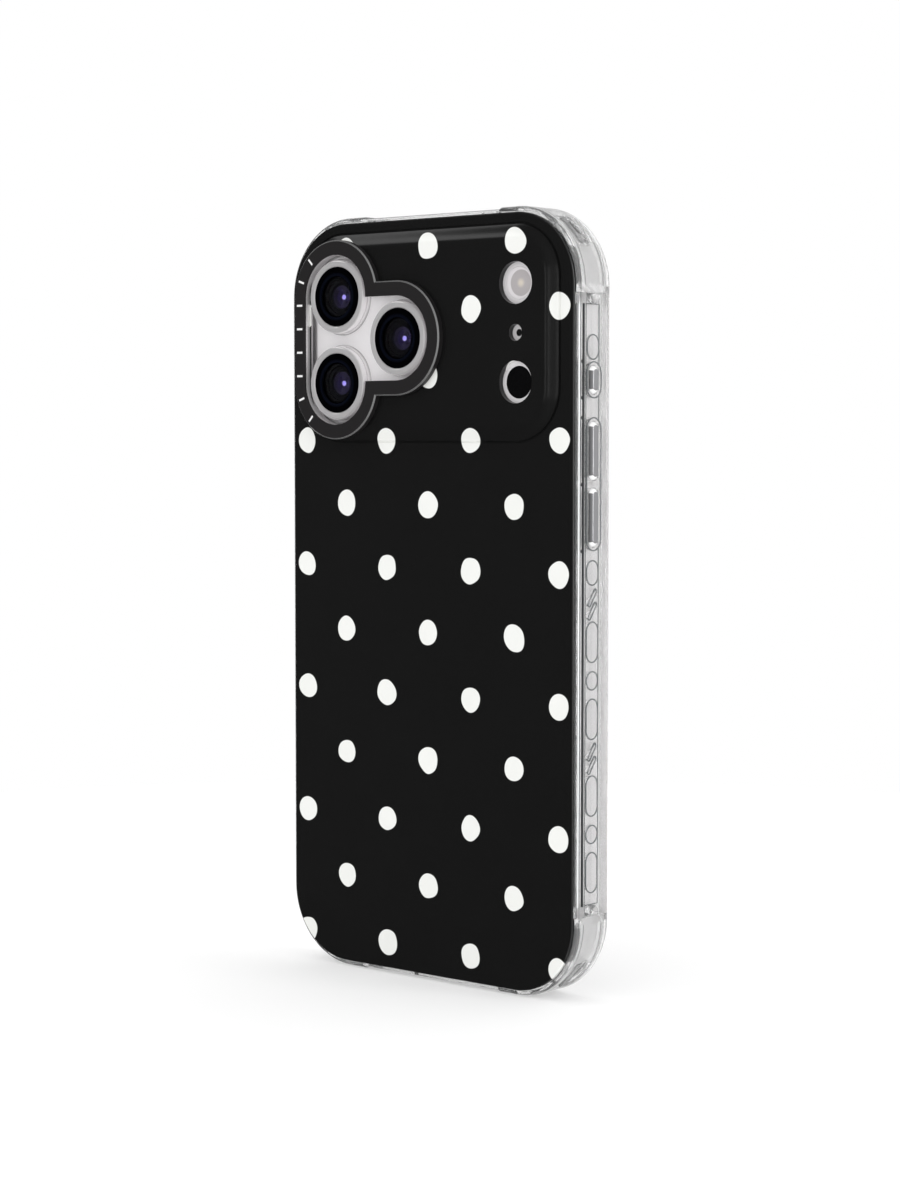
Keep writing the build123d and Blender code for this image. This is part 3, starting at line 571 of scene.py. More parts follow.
def inked_cover_glass(name, x, z):
    """Sapphire, polished and film-coated so it hardly mirrors, its border inked black inside, with a
    painted blue sheen near the opening.
    """
    mat, tree, shader, place = new_material(name)
    reach = from_centre(tree, place, x, z)
    ink = add(
        tree, "MapRange", Value=reach, From_Min=ink_starts[0], From_Max=ink_starts[1],
    ).outputs[0]
    # the ink turns faintly blue towards the opening: a painted sheen
    glow = add(
        tree, "MapRange", Value=reach, From_Min=ink_painted_sheen_ends[0], From_Max=ink_painted_sheen_ends[1],
        To_Min=0.0, To_Max=1.0,
    ).outputs[0]
    border = add(tree, "Mix", RGBA, i0=glow, i6=srgb("#020203"), i7=srgb("#0A0D17")).outputs[2]
    shade = add(
        tree, "MapRange", Value=reach, From_Min=ink_tone_starts[0], From_Max=ink_tone_starts[1],
    ).outputs[0]
    tone = add(tree, "Mix", RGBA, i0=shade, i6=srgb("#FFFFFF"), i7=border).outputs[2]
    clear = add(tree, "Math", "SUBTRACT", i0=1.0, i1=ink).outputs[0]
    finish(
        tree, shader, Base_Color=tone, IOR=1.12, Transmission_Weight=clear,
        Roughness=uneven(tree, place, 2.0, 0.02, 0.04),
    )
    return mat


def violet_lens(name):
    """Ground lens over a black iris, its film coating glowing deep violet and blue."""
    mat, tree, shader, place = new_material(name)
    cloud = add(tree, "TexNoise", Vector=place, Scale=1 / 1.4, Detail=1.0).outputs["Fac"]
    tone = add(tree, "Mix", RGBA, i0=cloud, i6=srgb("#050411"), i7=srgb("#0D0724")).outputs[2]
    finish(
        tree, shader, Base_Color=tone, IOR=1.4, Specular_Tint=srgb("#8E7BE0"),
        Roughness=add(tree, "MapRange", Value=cloud, To_Min=0.04, To_Max=0.1).outputs[0],
    )
    return mat


def off_screen_glass(name, x, z, half):
    """Chemically strengthened glass, bonded to a screen that is off.

    The lit area is a warm near-black inside a blacker inked border, with a blacker island.
    """
    mat, tree, shader, place = new_material(name)
    spot = add(tree, "SeparateXYZ", Vector=place).outputs
    across = add(tree, "Math", "SUBTRACT", i0=spot["X"], i1=x / MM)
    past = add(
        tree, "Math", "SUBTRACT", i1=half / MM,
        i0=add(tree, "Math", "ABSOLUTE", i0=across.outputs[0]).outputs[0],
    )
    beyond = add(tree, "Math", "MAXIMUM", i0=past.outputs[0], i1=0.0)
    up = add(tree, "Math", "SUBTRACT", i0=spot["Z"], i1=z / MM)
    reach = add(
        tree, "VectorMath", "LENGTH",
        i0=add(tree, "CombineXYZ", X=beyond.outputs[0], Y=up.outputs[0]).outputs[0],
    ).outputs["Value"]
    island = add(
        tree, "MapRange", Value=reach, From_Min=island_radius + screen_edge_blur,
        From_Max=island_radius - screen_edge_blur,
    ).outputs[0]
    lens = add(
        tree, "MapRange", SMOOTH, From_Min=front_lens_fade[0], From_Max=front_lens_fade[1],
        Value=from_centre(tree, place, *front_lens_place()),
    ).outputs[0]
    panel_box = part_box("display_panel")
    halves = [(b - a) / 2 / MM - screen_corner / MM for a, b in zip(*panel_box)]
    centre = [(a + b) / 2 / MM for a, b in zip(*panel_box)]
    from_middle = add(
        tree, "VectorMath", "SUBTRACT", i0=place, i1=(centre[0], 0, centre[2]),
    ).outputs[0]
    folded = add(tree, "VectorMath", "ABSOLUTE", i0=from_middle).outputs[0]
    past_corner = add(
        tree, "VectorMath", "SUBTRACT", i0=folded, i1=(halves[0], 1000.0, halves[2]),
    ).outputs[0]
    outside = add(tree, "VectorMath", "MAXIMUM", i0=past_corner, i1=(0.0, 0.0, 0.0)).outputs[0]
    from_corner = add(tree, "VectorMath", "LENGTH", i0=outside).outputs["Value"]
    border = add(
        tree, "MapRange", Value=from_corner, From_Min=screen_corner / MM - screen_edge_blur,
        From_Max=screen_corner / MM + screen_edge_blur,
    ).outputs[0]
    cloud = add(tree, "TexNoise", Vector=place, Scale=1 / 14.0).outputs["Fac"]
    screen = add(tree, "Mix", RGBA, i0=cloud, i6=srgb("#121215"), i7=srgb("#16161A")).outputs[2]
    black = add(tree, "Math", "MAXIMUM", i0=border, i1=island).outputs[0]
    bare = add(tree, "Mix", RGBA, i0=black, i6=screen, i7=srgb("#010101")).outputs[2]
    tone = add(tree, "Mix", RGBA, i0=lens, i6=bare, i7=srgb("#141B3C")).outputs[2]
    finish(
        tree, shader, Base_Color=tone, Specular_IOR_Level=0.25,
        Roughness=add(tree, "MapRange", Value=cloud, To_Min=0.02, To_Max=0.06).outputs[0],
    )
    return mat


def front_lens_place():
    """(x, z) of the front camera's lens."""
    x, _, z = middle_of("front_camera")
    return x, z


def stepped_flash_lens(name, x, z):
    """Moulded polycarbonate over a warm phosphor: pale rim, greyer stepped lens, warm heart."""
    mat, tree, shader, place = new_material(name)
    reach = from_centre(tree, place, x + 0.45 * MM, z)
    warm = add(tree, "MapRange", SMOOTH, Value=reach, From_Min=1.3, From_Max=0.2).outputs[0]
    lens = add(tree, "Mix", RGBA, i0=warm, i6=srgb("#BDB8B9"), i7=srgb("#E2D9CC")).outputs[2]
    rim = add(tree, "MapRange", Value=reach, From_Min=2.75, From_Max=2.85).outputs[0]
    tone = add(tree, "Mix", RGBA, i0=rim, i6=lens, i7=srgb("#EDE9EB")).outputs[2]
    steps = add(
        tree, "Math", "FRACT", i0=add(tree, "Math", "DIVIDE", i0=reach, i1=0.36).outputs[0],
    ).outputs[0]
    finish(
        tree, shader, Base_Color=tone, Coat_Weight=0.6,
        Roughness=uneven(tree, place, 0.6, 0.25, 0.4),
        Normal=add(tree, "Bump", Strength=0.6, Distance=0.12 * MM, Height=steps).outputs[0],
    )
    return mat


def black_lens_wall():
    """Black anodised barrel with a matt, finely turned wall that swallows stray light."""
    mat, tree, shader, place = new_material("matt_black_barrel")
    turned = add(
        tree, "TexWave", {"bands_direction": "Y"}, Vector=place, Scale=1.6, Distortion=0.2,
    ).outputs["Fac"]
    tone = add(tree, "Mix", RGBA, i0=turned, i6=srgb("#020203"), i7=srgb("#07080C")).outputs[2]
    finish(
        tree, shader, Base_Color=tone, Specular_IOR_Level=0.0,
        Roughness=uneven(tree, place, 0.5, 0.6, 0.75),
    )
    return mat


# ---- pieces ------------------------------------------------------------------------------------
def hill_height(inset):
    """Y of the case's back, inset from the raised area's foot: soft at the foot and the top."""
    t = min(max(inset / hill_slope, 0.0), 1.0)
    rise = (sin(t * pi / 2) + t * t * (3 - 2 * t)) / 2
    return back_y + (hill_top_y - back_y) * rise


def hill_ring(inset, centre_z):
    """The raised area's outline, inset from its foot."""
    width, height, corner = hill_foot
    points = rounded_rectangle(width - 2 * inset, height - 2 * inset, max(corner - inset, 2 * MM))
    return [(x, z + centre_z) for x, z in points]


def build_back(bm):
    """The outside of the case's back, its raised area, windows and edge, as one closed shell."""
    centre = middle_z + phone_half_z - plateau_below_top - plateau_height / 2
    outer_steps = 4
    width, height = 2 * (phone_half_x + panel_reach), 2 * (phone_half_z + panel_reach)
    corner = phone_corner + panel_reach

    def outline(inset):
        shape = rounded_rectangle(width - 2 * inset, height - 2 * inset, corner - inset, 32)
        return [(x, z + middle_z) for x, z in shape]

    edge = panel_edge_round
    rings = []
    for i in range(outer_steps + 1):
        turn = i / outer_steps * pi / 2
        inset, y = edge * (1 - cos(turn)), back_y + edge * (1 - sin(turn))
        rings.append([(x, y, z) for x, z in outline(inset)])
    inner_rim = [(x, panel_inner_y, z) for x, z in outline(0)]
    loft(bm, [inner_rim] + rings, False, False)
    foot = hill_ring(0, centre)
    sheet_between(bm, outline(edge), [foot], lambda x, z: back_y)
    steps = [hill_slope * i / hill_steps for i in range(3, hill_steps + 1)]
    levels = [(inset, back_y + deep) for inset, deep in foot_groove]
    levels += [(inset, hill_height(inset)) for inset in steps]
    loft(bm, [[(x, y, z) for x, z in hill_ring(s, centre)] for s, y in levels], False, False)
    windows = window_loops()
    sheet_between(bm, hill_ring(hill_slope, centre), windows, lambda x, z: hill_top_y)
    done = set(bm.faces)
    for loop in windows:
        walls = [[(x, y, z) for x, z in loop] for y in (hill_top_y, panel_inner_y)]
        loft(bm, walls, False, False)
    for face in set(bm.faces) - done:
        face.material_index = 1
    sheet_between(bm, outline(0), windows, lambda x, z: panel_inner_y)


def window_loops():
    """Round windows over flash, microphone and depth sensor, and the ring's opening."""
    loops = []
    for name in ("flash_diffuser", "rear_microphone_mesh", "depth_sensor_window"):
        low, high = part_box(name)
        x, _, z = middle_of(name)
        loops.append(circle(x, z, (high[0] - low[0]) / 2 + window_margin))
    loops.append(trefoil(collar_outer()))
    return loops


def collar_outer():
    """The collar's outer radius round each lens."""
    low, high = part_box("camera_collar")
    lens_low, lens_high = lens_place("lower"), lens_place("upper")
    return (high[2] - low[2] - (lens_high[1] - lens_low[1])) / 2


def lens_place(name):
    """(x, z) of a lens's axis."""
    x, _, z = middle_of(f"lens_glass_{name}")
    return x, z


def trefoil(radius):
    """Outline at one distance round the stadium of the left lenses joined to the right lens."""
    (x0, high), (_, low) = lens_place("upper"), lens_place("lower")
    x1, mid = lens_place("middle")
    points = []
    count = 24
    lift = asin((mid + radius - high) / radius)
    for i in range(count + 1):
        turn = lift + (pi - lift) * i / count
        points.append((x0 + radius * cos(turn), high + radius * sin(turn)))
    for i in range(count + 1):
        turn = pi + (pi - lift) * i / count
        points.append((x0 + radius * cos(turn), low + radius * sin(turn)))
    for i in range(count + 1):
        turn = -pi / 2 + pi * i / count
        points.append((x1 + radius * cos(turn), mid + radius * sin(turn)))
    return points


def lens_ring_profile(name):
    """(radius, Y) round the section of a polished lens ring, with rolled edges and a groove."""
    low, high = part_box(f"lens_ring_{name}")
    glass_low, glass_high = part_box(f"lens_glass_{name}")
    outer = lens_ring_radius
    inner = (glass_high[0] - glass_low[0]) / 2 + glass_clearance
    rim, foot = low[1], plateau_y
    roll, flare = lens_ring_roll, lens_ring_flare
    points = [(inner, glass_high[1])]
    points += [(inner + out, rim + deep) for out, deep in lens_ring_bevel]
    for i in range(9):
        turn = i / 8 * pi / 2
        points.append((outer - roll + roll * sin(turn), rim + roll * (1 - cos(turn))))
    points += [(outer - cut, foot - up) for cut, up in lens_ring_groove]
    for i in range(7):
        turn = i / 6 * pi / 2
        points.append((outer + flare * (1 - cos(turn)), foot - flare * (1 - sin(turn))))
    points += [(outer - lens_ring_foot, y) for y in (foot, glass_high[1])]
    return points


def repeated(name, places, unit, sizes, mat):
    """Sets one unit at each place with Geometry Nodes. unit(tree, inputs) gives the unit's mesh."""
    tree = bpy.data.node_groups.new(name, "GeometryNodeTree")
    face = tree.interface
    face.new_socket("Geometry", in_out="INPUT", socket_type="NodeSocketGeometry")
    face.new_socket("Geometry", in_out="OUTPUT", socket_type="NodeSocketGeometry")
    handles = {}
    for key, value in sizes.items():
        kind = "NodeSocketVector" if isinstance(value, tuple) else "NodeSocketFloat"
        handles[key] = face.new_socket(key, in_out="INPUT", socket_type=kind).identifier
    inputs = add(tree, "NodeGroupInput").outputs
    shape = unit(tree, inputs)
    real = add(tree, "GeometryNodeRealizeInstances", Geometry=shape)
    dressed = add(tree, "GeometryNodeSetMaterial", Geometry=real.outputs[0], Material=mat)
    add(tree, "NodeGroupOutput", Geometry=dressed.outputs[0])
    host = mesh_object(f"{name}_places", places)
    modifier = host.modifiers.new(name, "NODES")
    modifier.node_group = tree
    for key, value in sizes.items():
        modifier[handles[key]] = value
    found = host.evaluated_get(bpy.context.evaluated_depsgraph_get())
    mesh = bpy.data.meshes.new_from_object(found)
    mesh.name = name
    bpy.data.objects.remove(host)
    return as_object(name, mesh)


def ring_units(tree, inputs):
    """A small rounded ring at every place, turned as Turn says."""
    path = add(tree, "GeometryNodeCurvePrimitiveCircle", Resolution=20, Radius=inputs["Radius"])
    section = add(
        tree, "GeometryNodeCurvePrimitiveCircle", Resolution=8, Radius=inputs["Thickness"],
    )
    ring = add(
        tree, "GeometryNodeCurveToMesh", Curve=path.outputs[0], Profile_Curve=section.outputs[0],
    )
    return add(
        tree, "GeometryNodeInstanceOnPoints", Points=inputs["Geometry"], Instance=ring.outputs[0],
        Rotation=inputs["Turn"],
    ).outputs[0]


def pad_units(tree, inputs):
    """A flat plated pad at every place."""
    pad = add(tree, "GeometryNodeMeshCube", Size=inputs["Size"])
    return add(
        tree, "GeometryNodeInstanceOnPoints", Points=inputs["Geometry"], Instance=pad.outputs[0],
    ).outputs[0]


def bead_unit(tree, inputs):
    """A round bead swept along the loops that the places make."""
    path = add(tree, "GeometryNodeMeshToCurve", Mesh=inputs["Geometry"])
    section = add(
        tree, "GeometryNodeCurvePrimitiveCircle", Resolution=10, Radius=inputs["Thickness"],
    )
    return add(
        tree, "GeometryNodeCurveToMesh", Curve=path.outputs[0], Profile_Curve=section.outputs[0],
        Fill_Caps=True,
    ).outputs[0]


def points_at(places):
    """A function that fills a bmesh with loose points."""
    return lambda bm: [bm.verts.new(place) for place in places]


def pocket_loop(sx, sz):
    """A pill round the pocket of a cushion, bent round the corner it lies on."""
    centre_x = sx * (phone_half_x - phone_corner)
    centre_z = middle_z + sz * (phone_half_z - phone_corner)
    out = phone_corner + cushion_reach - pocket_sunk
    y0 = (phone_front_y + back_y) / 2 + pocket_off_middle
    half, width = pocket_rim

    def build(bm):
        row = []
        for i in range(64):
            turn = 2 * pi * i / 64
            along = half * cos(turn) * (1 + 0.12 * sin(turn) ** 2)
            lean = pi / 4 + along / out
            x, z = centre_x + sx * out * cos(lean), centre_z + sz * out * sin(lean)
            row.append((x, y0 + width * sin(turn), z))
        closed_row(bm, row)

    return build


def pill_loop(side, out, z, length, width, lean=0.0):
    """Points round a pill that stands on a side wall, leaning by some degrees."""
    x = side * (phone_half_x + out)
    y0 = middle_of("action_cover")[1]
    radius, half = width / 2, (length - width) / 2
    c, s = cos(radians(lean)), sin(radians(lean))
    points = []
    for end, start in ((1, 0.0), (-1, pi)):
        for i in range(13):
            turn = start + i / 12 * pi
            across, up = radius * cos(turn), end * half + radius * sin(turn)
            points.append((x, y0 + across * c - up * s, z + across * s + up * c))
    return points


def side_frames(side):
    """(low, high) of each raised frame on a side; the two volume covers share one."""
    names = (("action",), ("volume_down", "volume_up")) if side > 0 else (
        ("side",), ("camera_control",)
    )
    found = []
    for group in names:
        boxes = [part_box(f"{name}_cover") for name in group]
        found.append((boxes[0][0][2] - bezel_width, boxes[-1][1][2] + bezel_width))
    return sorted(found)


def relief_loops(side):
    """Outlines of the pads, studs and ribs in a side's channel, from each free stretch's bottom."""
    bottom = middle_z - phone_half_z + channel_end
    top = middle_z + phone_half_z - channel_end
    edges = sorted([bottom, top] + [edge for pair in side_frames(side) for edge in pair])
    group = 2 * relief_step + relief_pad
    loops = []
    for low, high in zip(edges[::2], edges[1::2]):
        z = low + relief_gap[1 if low == bottom else 0]
        while z + group <= high:
            middle = z + group / 2
            for away, length in (
                (-relief_step, relief_pad), (0, relief_width), (relief_step, relief_pad)
            ):
                loops.append(pill_loop(side, relief_out, middle + away, length, relief_width))
            z += group
            if z + rib_stretch > high:
                break
            for up in rib_places:
                loops.append(pill_loop(side, relief_out, z + up, *rib_size, rib_lean * side))
            z += rib_stretch
        if z + relief_short_pad <= high:
            middle = z + relief_short_pad / 2
            loops.append(pill_loop(side, relief_out, middle, relief_short_pad, relief_width))
    return loops


def edge_lines(side):
    """Every moulded edge in a side's channel: raised shapes, frames and the channel itself."""
    loops = relief_loops(side)
    cover_low, cover_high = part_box("action_cover")
    frame_width = cover_high[1] - cover_low[1] + 2 * bezel_width
    for low, high in side_frames(side):
        loops.append(pill_loop(side, bezel_out, (low + high) / 2, high - low, frame_width))
    x = side * (phone_half_x + wall_out)
    reach = phone_half_z - channel_end
    corners = [(y, middle_z + sz * reach) for sz in (-1, 1) for y in channel_y[::-sz]]
    loops.append([(x, y, z) for y, z in corners])

    def build(bm):
        for loop in loops:
            closed_row(bm, loop)

    return build


def round_the_case(line):
    """A closed row of edges round the case, along one of its rails' lines."""
    out, deep, _ = line

    def build(bm):
        shape = rounded_rectangle(
            2 * (phone_half_x + out), 2 * (phone_half_z + out), phone_corner + out, 16
        )
        closed_row(bm, [(x, back_y + deep, z + middle_z) for x, z in shape])

    return build


def down_the_sides(line):
    """Two straight edges, along both side channels from end to end."""
    out, deep, _ = line
    reach = phone_half_z - channel_end

    def build(bm):
        for side in (-1, 1):
            x = side * (phone_half_x + out)
            bm.edges.new([bm.verts.new((x, back_y + deep, middle_z + z)) for z in (-reach, reach)])

    return build


def round_the_corners(lines):
    """Rows of edges just under the skin of the four cushions, for beads of painted shade and
    highlight.
    """

    def build(bm):
        for out, deep, _ in lines:
            radius = phone_corner + out
            for sx in (-1, 1):
                for sz in (-1, 1):
                    row = []
                    for i in range(corner_line_steps + 1):
                        turn = i / corner_line_steps * pi / 2
                        x = sx * (phone_half_x - phone_corner + radius * cos(turn))
                        z = middle_z + sz * (phone_half_z - phone_corner + radius * sin(turn))
                        row.append(bm.verts.new((x, back_y + deep, z)))
                    for a, b in zip(row, row[1:]):
                        bm.edges.new((a, b))

    return build


def lens_stack_profile(name):
    """(radius, Y) round a dished front lens in a stepped black holder, on the focusing barrel."""
    low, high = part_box(f"lens_element_{name}")
    outer = (high[0] - low[0]) / 2
    front, back = low[1], high[1]
    dish = dish_share * outer
    points = [(lens_axis_hole, back), (outer, back)]
    for i in range(3):
        radius = outer - i * (outer - dish) / 3
        y = front + i * holder_step
        points += [(radius, y), (radius - (outer - dish) / 3, y)]
    for i in range(9):
        part = 1 - i / 8
        y = front + 3 * holder_step + dish_depth * (1 - part**2)
        points.append((max(dish * part, lens_axis_hole), y))
    return points


def inner_lens_profile(name):
    """(radius, Y) round the small domed lens that sits in the middle of a dished one."""
    low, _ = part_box(f"lens_element_{name}")
    radius, rise = inner_lens_radius, inner_lens_rise
    foot = low[1] + inner_lens_place
    dome = [(radius * cos(i / 10 * pi / 2), foot - rise * sin(i / 10 * pi / 2)) for i in range(11)]
    dome[-1] = (lens_axis_hole, foot - rise)
    edge = foot + inner_lens_edge
    return [(lens_axis_hole, edge), (radius, edge)] + dome


def eased_copy(name, node):
    """A merged copy of a CAD node, drawn in by a hair so that it doesn't share faces."""
    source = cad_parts[node].data
    bm = bmesh.new()
    bm.from_mesh(source)
    bmesh.ops.remove_doubles(bm, verts=bm.verts, dist=0.001 * MM)
    bm.normal_update()
    moves = [(vert, vert.normal * touch_gap) for vert in bm.verts]
    for vert, move in moves:
        vert.co -= move
    mesh = bpy.data.meshes.new(name)
    bm.to_mesh(mesh)
    bm.free()
    return as_object(name, mesh)


def pill_rings(side, node, insets):
    """Rows of points round a pill on a side wall. insets are (in from the outline, from the top)."""
    low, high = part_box(node)
    length, width = high[2] - low[2], high[1] - low[1]
    y0, z0 = (low[1] + high[1]) / 2, (low[2] + high[2]) / 2
    top = high[0] if side > 0 else low[0]
    rows = []
    for inset, drop in insets:
        radius = width / 2 - inset
        half = length / 2 - width / 2
        row = []
        for end, start in ((1, 0.0), (-1, pi)):
            for i in range(17):
                turn = start + i / 16 * pi
                y, z = y0 + radius * cos(turn), z0 + end * half + radius * sin(turn)
                row.append((top - side * drop, y, z))
        rows.append(row)
    return rows


def build_cover(bm, side, node):
    """A key's cover: a pill with bevelled edges, flat on top."""
    low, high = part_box(node)
    profile = ((0.0, high[0] - low[0]),) + cover_section
    loft(bm, pill_rings(side, node, profile))


# ---- making ------------------------------------------------------------------------------------
def assign(obj, mat):
    obj.data.materials.clear()
    obj.data.materials.append(mat)


def make_camera():
    data = bpy.data.cameras.new("view")
    data.lens = view_lens
    data.sensor_width = 36.0
    data.clip_start = 0.01
    camera = bpy.data.objects.new("view", data)
    bpy.context.scene.collection.objects.link(camera)
    back_middle = Vector((0, back_y, middle_z))
    camera.location = back_middle + Vector(view_place)
    camera.rotation_euler = (radians(90 - view_drop), 0, radians(view_azimuth))
    bpy.context.scene.camera = camera


def softbox(name, place, target, size, glow):
    """A rectangular light whose face is as bright as glow, where white paper is 1."""
    data = bpy.data.lights.new(name, "AREA")
    data.shape = "RECTANGLE"
    data.size, data.size_y = size
    data.energy = pi * size[0] * size[1] * glow
    lamp = bpy.data.objects.new(name, data)
    lamp.location = place
    aim = Vector(target) - Vector(place)
    lamp.rotation_euler = aim.to_track_quat("-Z", "Y").to_euler()
    lamp.visible_camera = False
    bpy.context.scene.collection.objects.link(lamp)


def make_studio():
    """A white room whose mirror image is dark behind the back and bright beyond the side."""
    world = bpy.data.worlds.new("studio")
    world.use_nodes = True
    tree = world.node_tree
    tree.nodes.clear()
    path = add(tree, "LightPath").outputs
    mirrored = add(
        tree, "Math", {"operation": "SUBTRACT", "use_clamp": True}, i0=path["Is Glossy Ray"],
        i1=path["Is Transmission Ray"],
    ).outputs[0]
    way = add(tree, "TexCoord").outputs["Generated"]
    toward = add(tree, "VectorMath", "DOT_PRODUCT", i0=way, i1=(0.66, 0.75, 0.0)).outputs["Value"]
    glow = add(
        tree, "MapRange", SMOOTH, Value=toward, From_Min=-0.7, From_Max=0.7, To_Min=0.05,
        To_Max=0.95,
    ).outputs[0]
    white = add(tree, "Background", Color=srgb("#FFFFFF"), Strength=1.0)
    room = add(tree, "Background", Color=srgb("#FFFFFF"), Strength=glow)
    both = add(tree, "MixShader", i0=mirrored, i1=white.outputs[0], i2=room.outputs[0])
    add(tree, "OutputWorld", Surface=both.outputs[0])
    bpy.context.scene.world = world
    bpy.context.scene.view_settings.view_transform = "Standard"
    hill = (0, back_y, middle_z + phone_half_z - plateau_below_top - plateau_height / 2)
    softbox("over_left", (-0.66, -0.42, 0.78), hill, (0.5, 0.22), 1.2)
    softbox("strip_one", (0.10, -1.0, 0.16), hill, (0.05, 0.5), 1.4)
    softbox("strip_two", (0.34, -0.95, 0.16), hill, (0.04, 0.5), 1.4)
    softbox("side", (0.95, 0.25, 0.3), hill, (0.25, 0.8), 5.0)
    rim = circle(0, 0, floor_radius, 96)
    ground = mesh_object("floor", lambda bm: bm.faces.new([bm.verts.new((*p, 0)) for p in rim]))
    ground.visible_glossy = False
    mat, tree, shader, place = new_material("painted_floor")
    finish(
        tree, shader, Base_Color=srgb("#D2D2D2"), Roughness=0.9, Specular_IOR_Level=0.1,
        Emission_Color=srgb("#FFFFFF"), Emission_Strength=0.4,
        Normal=add(
            tree, "Bump", Strength=0.1, Distance=0.2 * MM,
            Height=add(tree, "TexNoise", Vector=place, Scale=1 / 20.0).outputs["Fac"],
        ).outputs[0],
    )
    assign(ground, mat)


make_camera()
make_studio()

flash_x, _, flash_z = middle_of("flash_diffuser")
materials = {
    "spotted": spotted_polycarbonate(),
    "clear": clear_elastomer(),
    "ring": anodised_black("black_anodised_aluminium", "#2E2C2D", "#A8A8A8"),
    "collar": blasted_aluminium("satin_aluminium", "#D8D6D7", 0.5, 0.3),
    "housing": satin_body("satin_anodised_aluminium"),
    # turned and buffed steel: bright, with soft reflections of the room
    "polished": polished_metal("polished_steel", "#FCFAFB", 0.12, metallic=0.62),
    # the covers' white ends are a painted highlight
    "cover": aluminium_with_painted_end_highlights("aluminium_with_painted_end_highlights", "#98989A", "#FFFFFF"),
    # stoved enamel: an even, faintly glossy white
    "mark": moulded_plastic("white_enamel", "#F2F2F2", 0.4),
    # injection-moulded nylon: near-black with a fine satin grain
    "black": moulded_plastic("black_plastic", "#0B0B0C", 0.4),
    "barrel": black_lens_wall(),
    "element": violet_lens("coated_lens"),
    "flash": stepped_flash_lens("stepped_flash_lens", flash_x, flash_z),
    # coated glass over a black print: a clean, closed black
    "sensor": hazy_glass("black_sensor_glass", "#050506", 0.0, 0.05),
    # drawn and stamped steel: grey, with blurred reflections
    "steel": polished_metal("drawn_steel", "#9A9A9A", 0.3),
    # enamelled winding wire: warm, half glossy
    "copper": polished_metal("copper_wire", "#C9794A", 0.3),
    # shrink-wrapped film: dark, soft sheen
    "battery": moulded_plastic("battery_wrap", "#15151A", 0.5),
    # screened solder mask: dark green, satin
    "board": moulded_plastic("solder_mask", "#0E3B26", 0.4),
    # acid-etched glass: pale, with a soft veil
    "rear_glass": hazy_glass("etched_rear_glass", "#EDEBEC", 0.0, 0.3),
    "screen": off_screen_glass("off_screen_glass", island_middle, front_lens_place()[1], island_half),
    # grey half-clear beads on the clear plastic's moulded edges: painted shade lines
    "edge": hazy_glass("edge_shade_polyurethane", "#84888A", 0.55, 0.08, 1.38),
    # electroplated gold: yellow, smooth
    "gold": polished_metal("gold_plate", "#D9B25A", 0.2),
    # cut polycarbonate: dead matt black walls
    "window_wall": moulded_plastic("matt_polycarbonate", "#040404", 0.9, shine=0.02),
    # vapour-coated lens: a violet mirror glint
    "inner": polished_metal("violet_film_lens", "#A79BF0", 0.08),
    # painted shade: dark beads standing in for the dark stripes that thick clear plastic shows
    "stripe_shade": moulded_plastic("dark_stripe_shade_plastic", "#26282A", 0.3),
    # painted highlight: pale beads standing in for the bright stripes on the clear plastic
    "stripe_highlight": moulded_plastic("pale_stripe_highlight_plastic", "#F4F6F6", 0.3),
}

node_material = {
    "bumper": "clear", "front_lip": "clear", "camera_ring": "ring", "camera_collar": "collar",
    "ring_marks": "mark", "phone_housing": "housing", "rear_glass": "rear_glass",
    "display_glass": "screen", "display_panel": "black", "lens_baffles": "barrel",
    "image_sensors": "black", "flash_diffuser": "flash", "depth_sensor_window": "sensor",
    "rear_microphone_mesh": "black", "button_switches": "steel", "port_shell": "steel",
    "port_tongue": "black", "bottom_screws": "steel", "magnet_ring": "steel",
    "charging_coil": "copper", "battery": "battery", "main_board": "board",
    "board_shields": "steel", "loudspeaker": "black", "earpiece_speaker": "black",
    "front_camera": "black", "face_sensor": "black", "haptic_case": "steel",
    "haptic_weight": "steel",
}
prefix_material = {
    "corner_cushion": "clear", "lens_barrel": "barrel", "camera_can": "steel",
}
for node_name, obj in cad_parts.items():
    key = node_material.get(node_name)
    for prefix, value in prefix_material.items():
        if node_name.startswith(prefix):
            key = value
    if node_name.endswith("_key"):
        key = "housing"
    if key:
        assign(obj, materials[key])

back = mesh_object("spotted_back", build_back)
assign(back, materials["spotted"])
back.data.materials.append(materials["window_wall"])
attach(back, "case")
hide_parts("back_panel")

for name in ("upper", "lower", "middle"):
    x, z = lens_place(name)
    ring = mesh_object(f"polished_ring_{name}", lambda bm: lathe(bm, lens_ring_profile(name), x, z))
    assign(ring, materials["polished"])
    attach(ring, "phone")
    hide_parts(f"lens_ring_{name}")

for name in ("upper", "lower", "middle"):
    x, z = lens_place(name)
    stack = mesh_object(f"lens_stack_{name}", lambda bm: lathe(bm, lens_stack_profile(name), x, z))
    assign(stack, materials["element"])
    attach(stack, f"{name}_lens")
    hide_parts(f"lens_element_{name}")
    inner = mesh_object(
        f"inner_lens_{name}", lambda bm: lathe(bm, inner_lens_profile(name), x, z, 48)
    )
    assign(inner, materials["inner"])
    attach(inner, f"{name}_lens")
    assign(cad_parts[f"lens_glass_{name}"], inked_cover_glass(f"cover_glass_{name}", x, z))

for name, side in (
    ("action", 1), ("volume_up", 1), ("volume_down", 1), ("side", -1), ("camera_control", -1)
):
    cover = mesh_object(
        f"{name}_pad", lambda bm: build_cover(bm, side, f"{name}_cover"), smooth=False
    )
    assign(cover, materials["cover"])
    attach(cover, f"{name}_cover")
    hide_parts(f"{name}_cover")

for node, slot in [("front_lip", "case_clear")] + [
    (f"corner_cushion_{end}_{side}", "cushion_clear")
    for end in ("top", "bottom") for side in ("left", "right")
]:
    soft = eased_copy(f"soft_{node}", node)
    assign(soft, materials["clear"])
    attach(soft, "case")
    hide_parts(node)

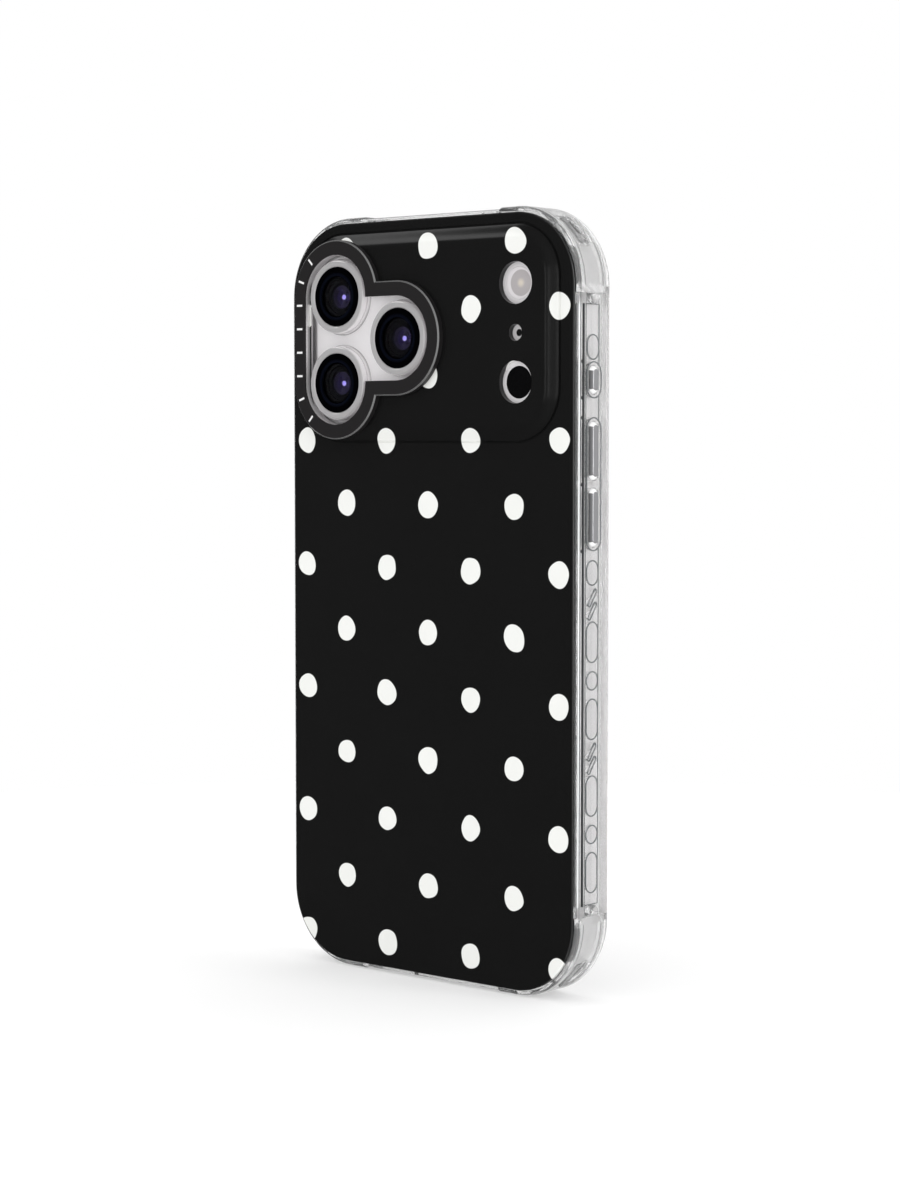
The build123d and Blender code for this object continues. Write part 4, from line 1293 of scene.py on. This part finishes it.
# grey beads round every moulded edge in the channels: painted shade lines
for side, word in ((1, "right"), (-1, "left")):
    lines = repeated(
        f"channel_edges_{word}", edge_lines(side), bead_unit, {"Thickness": edge_bead},
        materials["edge"],
    )
    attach(lines, "case")

# beads along the rails: the pale one a painted highlight, the thin one and the groove's painted shade
for name, line, build, key in (
    ("rail_highlight_line", highlight_line, down_the_sides, "stripe_highlight"),
    ("rail_thin_shade_line", thin_shade_line, round_the_case, "stripe_shade"),
    ("rail_groove_shade", groove_shade_line, down_the_sides, "stripe_shade"),
):
    bead = repeated(name, build(line), bead_unit, {"Thickness": line[2]}, materials[key])
    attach(bead, "case")

# beads in the cushions: dark ones painted shade, pale ones painted highlights
for name, lines, key in (
    ("cushion_shade_lines", corner_shade_lines, "stripe_shade"),
    ("cushion_highlight_lines", corner_highlight_lines, "stripe_highlight"),
):
    bead = repeated(
        name, round_the_corners(lines), bead_unit, {"Thickness": lines[0][2]}, materials[key]
    )
    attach(bead, "case")

low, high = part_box("port_tongue")
row = [(i - (contacts_in_row - 1) / 2) * contact_pitch for i in range(contacts_in_row)]
contacts = repeated(
    "port_contacts",
    points_at([(x, y, low[2] + contact_up) for x in row for y in (low[1], high[1])]),
    pad_units, {"Size": contact_size}, materials["gold"],
)
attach(contacts, "phone")

low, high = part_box("bottom_screws")
row = [speaker_first + i * speaker_pitch for i in range(speakers_each_side)]
rims = repeated(
    "speaker_rims",
    points_at([(sx * x, (low[1] + high[1]) / 2, housing_low[2]) for x in row for sx in (-1, 1)]),
    ring_units, {"Radius": speaker_bore, "Thickness": speaker_rim, "Turn": (0.0, 0.0, 0.0)},
    materials["housing"],
)
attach(rims, "phone")

# dark rings standing in for the shade of small notches at each frame's end
places = []
for name in ("action", "volume_up", "volume_down", "side", "camera_control"):
    low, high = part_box(f"{name}_cover")
    side = 1 if low[0] > 0 else -1
    for z in (low[2] - bezel_width, high[2] + bezel_width):
        places.append((side * (phone_half_x + rail_out), back_y + pip_deep, z))
notch_shade_rings = repeated(
    "rail_notch_shade_rings", points_at(places), ring_units,
    {"Radius": pip_radius, "Thickness": pip_bead, "Turn": (0.0, pi / 2, 0.0)}, materials["stripe_shade"],
)
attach(notch_shade_rings, "case")

for corner, sx, sz in (
    ("top_right", 1, 1), ("top_left", -1, 1), ("bottom_right", 1, -1), ("bottom_left", -1, -1)
):
    bead = repeated(
        f"pocket_rim_{corner}", pocket_loop(sx, sz), bead_unit, {"Thickness": pocket_bead},
        materials["clear"],
    )
    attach(bead, "case")
